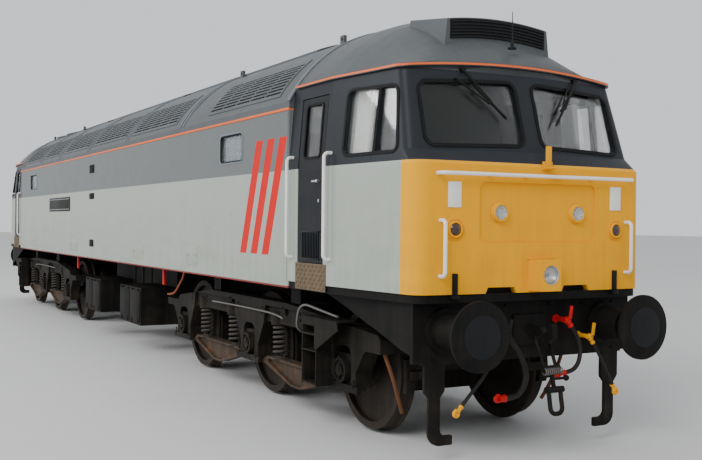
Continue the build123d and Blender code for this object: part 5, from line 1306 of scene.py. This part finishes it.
def curtain(name, along, across):
    """A gathered sheet that hangs inside a side window."""
    bm = bmesh.new()
    columns, rows = 60, 10
    phase = draw.uniform(0, math.tau)
    grid = []
    for row in range(rows + 1):
        fall = row / rows
        z = CURTAIN_TOP + (CURTAIN_LOW - CURTAIN_TOP) * fall
        line = []
        for column in range(columns + 1):
            share = column / columns
            x = CURTAIN_X + CURTAIN_WIDTH * share
            x = x + 0.012 * math.sin(math.pi * fall) * math.sin(5 * share + phase)
            wave = math.sin(math.tau * PLEATS * share + phase)
            depth = PLEAT_DEPTH * wave * (0.75 + 0.35 * fall)
            inside = on_side(x, z, -BEHIND_GLASS)
            line.append(bm.verts.new((along * x, across * (inside.y + depth), z)))
        grid.append(line)
    for upper, lower in zip(grid, grid[1:]):
        for a, b, c, d in zip(upper, upper[1:], lower[1:], lower):
            bm.faces.new((a, b, c, d))
    length = sum((b.co - a.co).length for a, b in zip(grid[5], grid[5][1:]))
    bmesh.ops.recalc_face_normals(bm, faces=bm.faces)
    bmesh.ops.solidify(bm, geom=bm.faces[:], thickness=0.0016)
    piece = finish(name, bm, "curtain_cloth")
    return length


for place, along, across in DOORS:
    print("curtain", place, round(curtain(f"curtain_{place}", along, across), 3), "m wide flat")

# %% [markdown]
# ## Running gear
# Bolts, covers, pipes and brackets crowd the bogies and the buffer beam. They are placed from the
# wheels and pivots, so that each stands on the part that carries it and turns with its bogie.

# %%
# Bogie fittings
AXLE_SHIFTS = (-2.210, 0.0, 2.210)
AXLE_UP = up(0.5995)
CAP_RING = 0.098
FRAME_BOLTS = (-1.9, -1.35, -0.35, 0.35, 1.30, 1.62)
BOGIE_PIPES = (
    # name, radius, paint, and points from the bogie's pivot: along, across and height
    ("sand_pipe", 0.018, "rusty_pipe", (
        (2.66, 1.02, 0.93), (2.78, 1.04, 0.90), (2.83, 1.02, 0.76), (2.84, 0.95, 0.58),
        (2.80, 0.86, 0.36), (2.76, 0.80, 0.24),
    )),
    ("brake_pipe", 0.011, "worn_steel", (
        (-1.12, 1.117, 0.955), (-0.80, 1.121, 0.962), (0.10, 1.121, 0.966), (0.78, 1.121, 0.960),
        (0.92, 1.117, 0.925),
    )),
)
for end, along in ENDS:
    pivot = along * PIVOT_X
    covers, bolts = bmesh.new(), bmesh.new()
    for shift in AXLE_SHIFTS:
        x = pivot + along * shift
        for across in (-1, 1):
            face = (x, across * 1.148, AXLE_UP)
            add_lathe(covers, [
                (0.0, 0.0), (0.030, 0.0), (0.034, 0.006), (0.030, 0.011), (0.0, 0.012),
            ], face, (0, across, 0), 20)
            for aside, rise in around(6, 30, CAP_RING):
                bolt_head(bolts, (x + aside, across * 1.145, AXLE_UP + rise), (0, across, 0), 0.013)
            for side in (-0.235, 0.235):
                for drop in (-0.150, -0.108):
                    bolt_head(bolts, (x + side, across * 1.127, AXLE_UP + drop), (0, across, 0), 0.014)
    for spot in FRAME_BOLTS:
        for across in (-1, 1):
            for drop in (0.0, 0.06):
                place = (pivot + along * spot, across * 1.105, up(1.000) - drop)
                bolt_head(bolts, place, (0, across, 0), 0.013)
    finish(f"axlebox_caps_{end}", covers, "bogie_black", f"bogie_{end}")
    finish(f"bogie_bolts_{end}", bolts, "bogie_black", f"bogie_{end}")
    for label, across in (("right", -1), ("left", 1)):
        for kind, radius, paint, route in BOGIE_PIPES:
            points = [(pivot + along * x, across * y, up(z)) for x, y, z in route]
            tube_piece(f"{kind}_{end}_{label}", points, radius, paint, f"bogie_{end}")
print("bogie fittings done")


# %%
# Pipes and hangers under the near half, seen in the picture
tube_piece("air_pipe_front", [
    (6.950, -1.085, up(0.830)), (6.958, -1.150, up(0.862)), (6.995, -1.165, up(0.976)),
    (7.050, -1.170, up(1.080)), (7.184, -1.175, up(1.131)), (7.370, -1.180, up(1.116)),
    (7.622, -1.185, up(1.090)), (7.902, -1.190, up(1.066)),
], 0.013, "worn_steel", "bogie_front")
tube_piece("copper_pipe", [
    (2.749, -1.1, up(0.919)), (2.95, -1.1, up(0.930)), (3.091, -1.1, up(0.989)), (3.25, -1.1, up(1.100)),
    (3.369, -1.1, up(1.177)), (3.43, -1.1, up(1.290)),
], 0.016, "copper")

bm = bmesh.new()
add_box(bm, (2.530, -1.118, up(1.036)), (2.600, -1.082, up(1.292)), 0.006)
mirrored(bm, "X")
finish("sill_hangers", bm, "signal_red")
print("pipes and hangers done")


# %%
# Buffers and coupling
BUFFER_FACE_X = 9.6775
BUFFER_RING = 0.158
bm = bmesh.new()
for across in (-1, 1):
    y, z = across * BUFFER_Y, up(BUFFER_HEIGHT)
    for aside, rise in around(4, 45, BUFFER_RING):
        bolt_head(bm, (9.182, y + aside, z + rise), (1, 0, 0), 0.018)
    add_lathe(bm, [
        (0.134, 0.0), (0.142, 0.004), (0.142, 0.030), (0.134, 0.034), (0.128, 0.034), (0.128, 0.0),
        (0.134, 0.0),
    ], (9.405, y, z), (1, 0, 0), 36)
for y in (-0.98, -0.62, -0.24, 0.24, 0.62, 0.98):
    for z in (0.82, 1.24):
        bolt_head(bm, (9.152, y, up(z)), (1, 0, 0), 0.015)
at_ends("beam_bolts", bm, "frame_black")

# Each buffer face carries a lighter disc: partly grease, and partly a painted highlight where the face
# would shine
bm = bmesh.new()
for across in (-1, 1):
    add_lathe(bm, [
        (0.0, 0.0018), (0.085, -0.0002), (0.172, -0.0095), (0.175, -0.016), (0.0, -0.016),
    ], (BUFFER_FACE_X, across * BUFFER_Y, up(BUFFER_HEIGHT)), (1, 0, 0), 36)
at_ends("buffer_grease", bm, "buffer_grease")

bm = bmesh.new()
for row in range(9):
    add_lathe(bm, [
        (0.024, -0.006), (0.031, -0.003), (0.031, 0.003), (0.024, 0.006),
    ], (9.475, -0.085 + 0.0215 * row, up(0.710)), (0, 1, 0), 14)
at_ends("coupling_screw", bm, "worn_steel")
print("buffers and coupling done")


# %%
# Doors, hinges and catches of the underfloor boxes
BATTERY_BOXES = ((-1.350, -0.345), (0.850, 1.950))
bm = bmesh.new()
for low_x, high_x in BATTERY_BOXES:
    middle = (low_x + high_x) / 2
    for left, right in ((low_x + 0.03, middle - 0.01), (middle + 0.01, high_x - 0.03)):
        add_box(bm, (left, -1.262, up(0.440)), (right, -1.248, up(0.915)), 0.005)
        for share in (0.2, 0.8):
            x = left + (right - left) * share
            add_rod(bm, (x - 0.04, -1.264, up(0.918)), (x + 0.04, -1.264, up(0.918)), 0.011, 10)
            add_box(bm, (x - 0.018, -1.272, up(0.425)), (x + 0.018, -1.258, up(0.490)), 0.004)
on_both_sides("battery_doors", bm, "frame_black")

bm = bmesh.new()
for x in (-0.20, 0.25, 0.70):
    add_box(bm, (x - 0.03, -0.712, up(0.41)), (x + 0.03, -0.698, up(1.20)), 0.004)
add_rod(bm, (0.10, -0.70, up(0.70)), (0.10, -0.79, up(0.74)), 0.045, 20)
add_lathe(bm, [
    (0.0, 0.0), (0.060, 0.0), (0.060, 0.022), (0.050, 0.030), (0.0, 0.030),
], (0.10, -0.785, up(0.738)), (0, -1, 0.4), 24)
on_both_sides("tank_straps", bm, "frame_black")
print("underfloor boxes:", len(BATTERY_BOXES), "on each side")

# %% [markdown]
# ## Cab inside
# A desk under the windscreens and two seats can be seen through the glass. The seats' pads are
# stuffed cushions: closed boxes whose middles are pushed out and whose edges stay tight, rounded by
# one level of subdivision.

# %%
# Desk, seats and cushions
def cushion(name, centre, size):
    """A crowned pad with tight edges."""
    bm = bmesh.new()
    matrix = Matrix.Translation(centre) @ Matrix.Diagonal((*size, 1.0))
    bmesh.ops.create_cube(bm, size=1.0, matrix=matrix)
    bmesh.ops.subdivide_edges(bm, edges=bm.edges[:], cuts=7, use_grid_fill=True)
    thin = min(range(3), key=lambda axis: size[axis])
    wide = [axis for axis in range(3) if axis != thin]
    for vert in bm.verts:
        offset = [(vert.co[axis] - centre[axis]) / (size[axis] / 2) for axis in range(3)]
        crown = max(0.0, (1 - offset[wide[0]] ** 4) * (1 - offset[wide[1]] ** 4))
        vert.co[thin] = centre[thin] + offset[thin] * size[thin] / 2 * (0.55 + 0.45 * crown)
        for axis in wide:
            pull = 1 - 0.05 * abs(offset[thin]) - 0.03 * (1 - abs(offset[wide[0]] * offset[wide[1]]))
            vert.co[axis] = centre[axis] + offset[axis] * size[axis] / 2 * pull
    piece = finish(name, bm, "seat_cloth", "body", ("cab_fittings",))
    level = piece.modifiers.new("rounding", "SUBSURF")
    level.levels = 1
    level.render_levels = 1


CAB_FLOOR = up(1.550)
SEAT_X = 8.300
SEAT_Y = 0.64
DIALS_Y = (-0.80, -0.62, -0.44, 0.44, 0.62, 0.80)
for end, along in ENDS:
    bm = bmesh.new()
    x = along * SEAT_X
    for y in (-SEAT_Y, SEAT_Y):
        add_rod(bm, (x, y, CAB_FLOOR), (x, y, up(1.900)), 0.045, 20, 0.035)
        add_lathe(bm, [(0.0, 0.0), (0.16, 0.0), (0.16, 0.012), (0.06, 0.030), (0.0, 0.030)],
                  (x, y, CAB_FLOOR), (0, 0, 1), 28)
        add_box(bm, (x - 0.19, y - 0.19, up(1.885)), (x + 0.19, y + 0.19, up(1.915)), 0.010)
        back = x - along * 0.215
        add_box(bm, (back - 0.012, y - 0.17, up(1.90)), (back + 0.012, y + 0.17, up(2.56)), 0.008)
    # The desk follows the nose: its plan is repeated at three heights and skinned
    rows = []
    for z in (1.553, 2.250, 2.372):
        reach = 8.80 if z > 2.0 else 8.95
        lean = 0.0 if z < 2.36 else 0.05
        ring = [(reach + lean, -1.0), (reach + lean, 1.0)]
        for step in range(9):
            y = 1.0 - 0.25 * step
            ring.append((on_front(y, up(z)).x - 0.075, y))
        rows.append([bm.verts.new((along * a, along * b, up(z))) for a, b in ring])
    skinned(bm, rows)
    for y in DIALS_Y:
        add_lathe(bm, [(0.0, 0.0), (0.052, 0.0), (0.052, 0.012), (0.044, 0.016), (0.0, 0.012)],
                  (along * 8.93, along * y, up(2.370)), (-along * 0.5, 0, 1), 24)
    finish(f"cab_desk_{end}", bm, "interior_grey", "body", ("cab_fittings",))
    for side, y in (("right", -SEAT_Y), ("left", SEAT_Y)):
        cushion(f"seat_pad_{end}_{side}", (x, y, up(1.957)), (0.44, 0.44, 0.084))
        cushion(f"seat_back_{end}_{side}", (x - along * 0.158, y, up(2.315)), (0.084, 0.42, 0.56))
print("cab inside done")
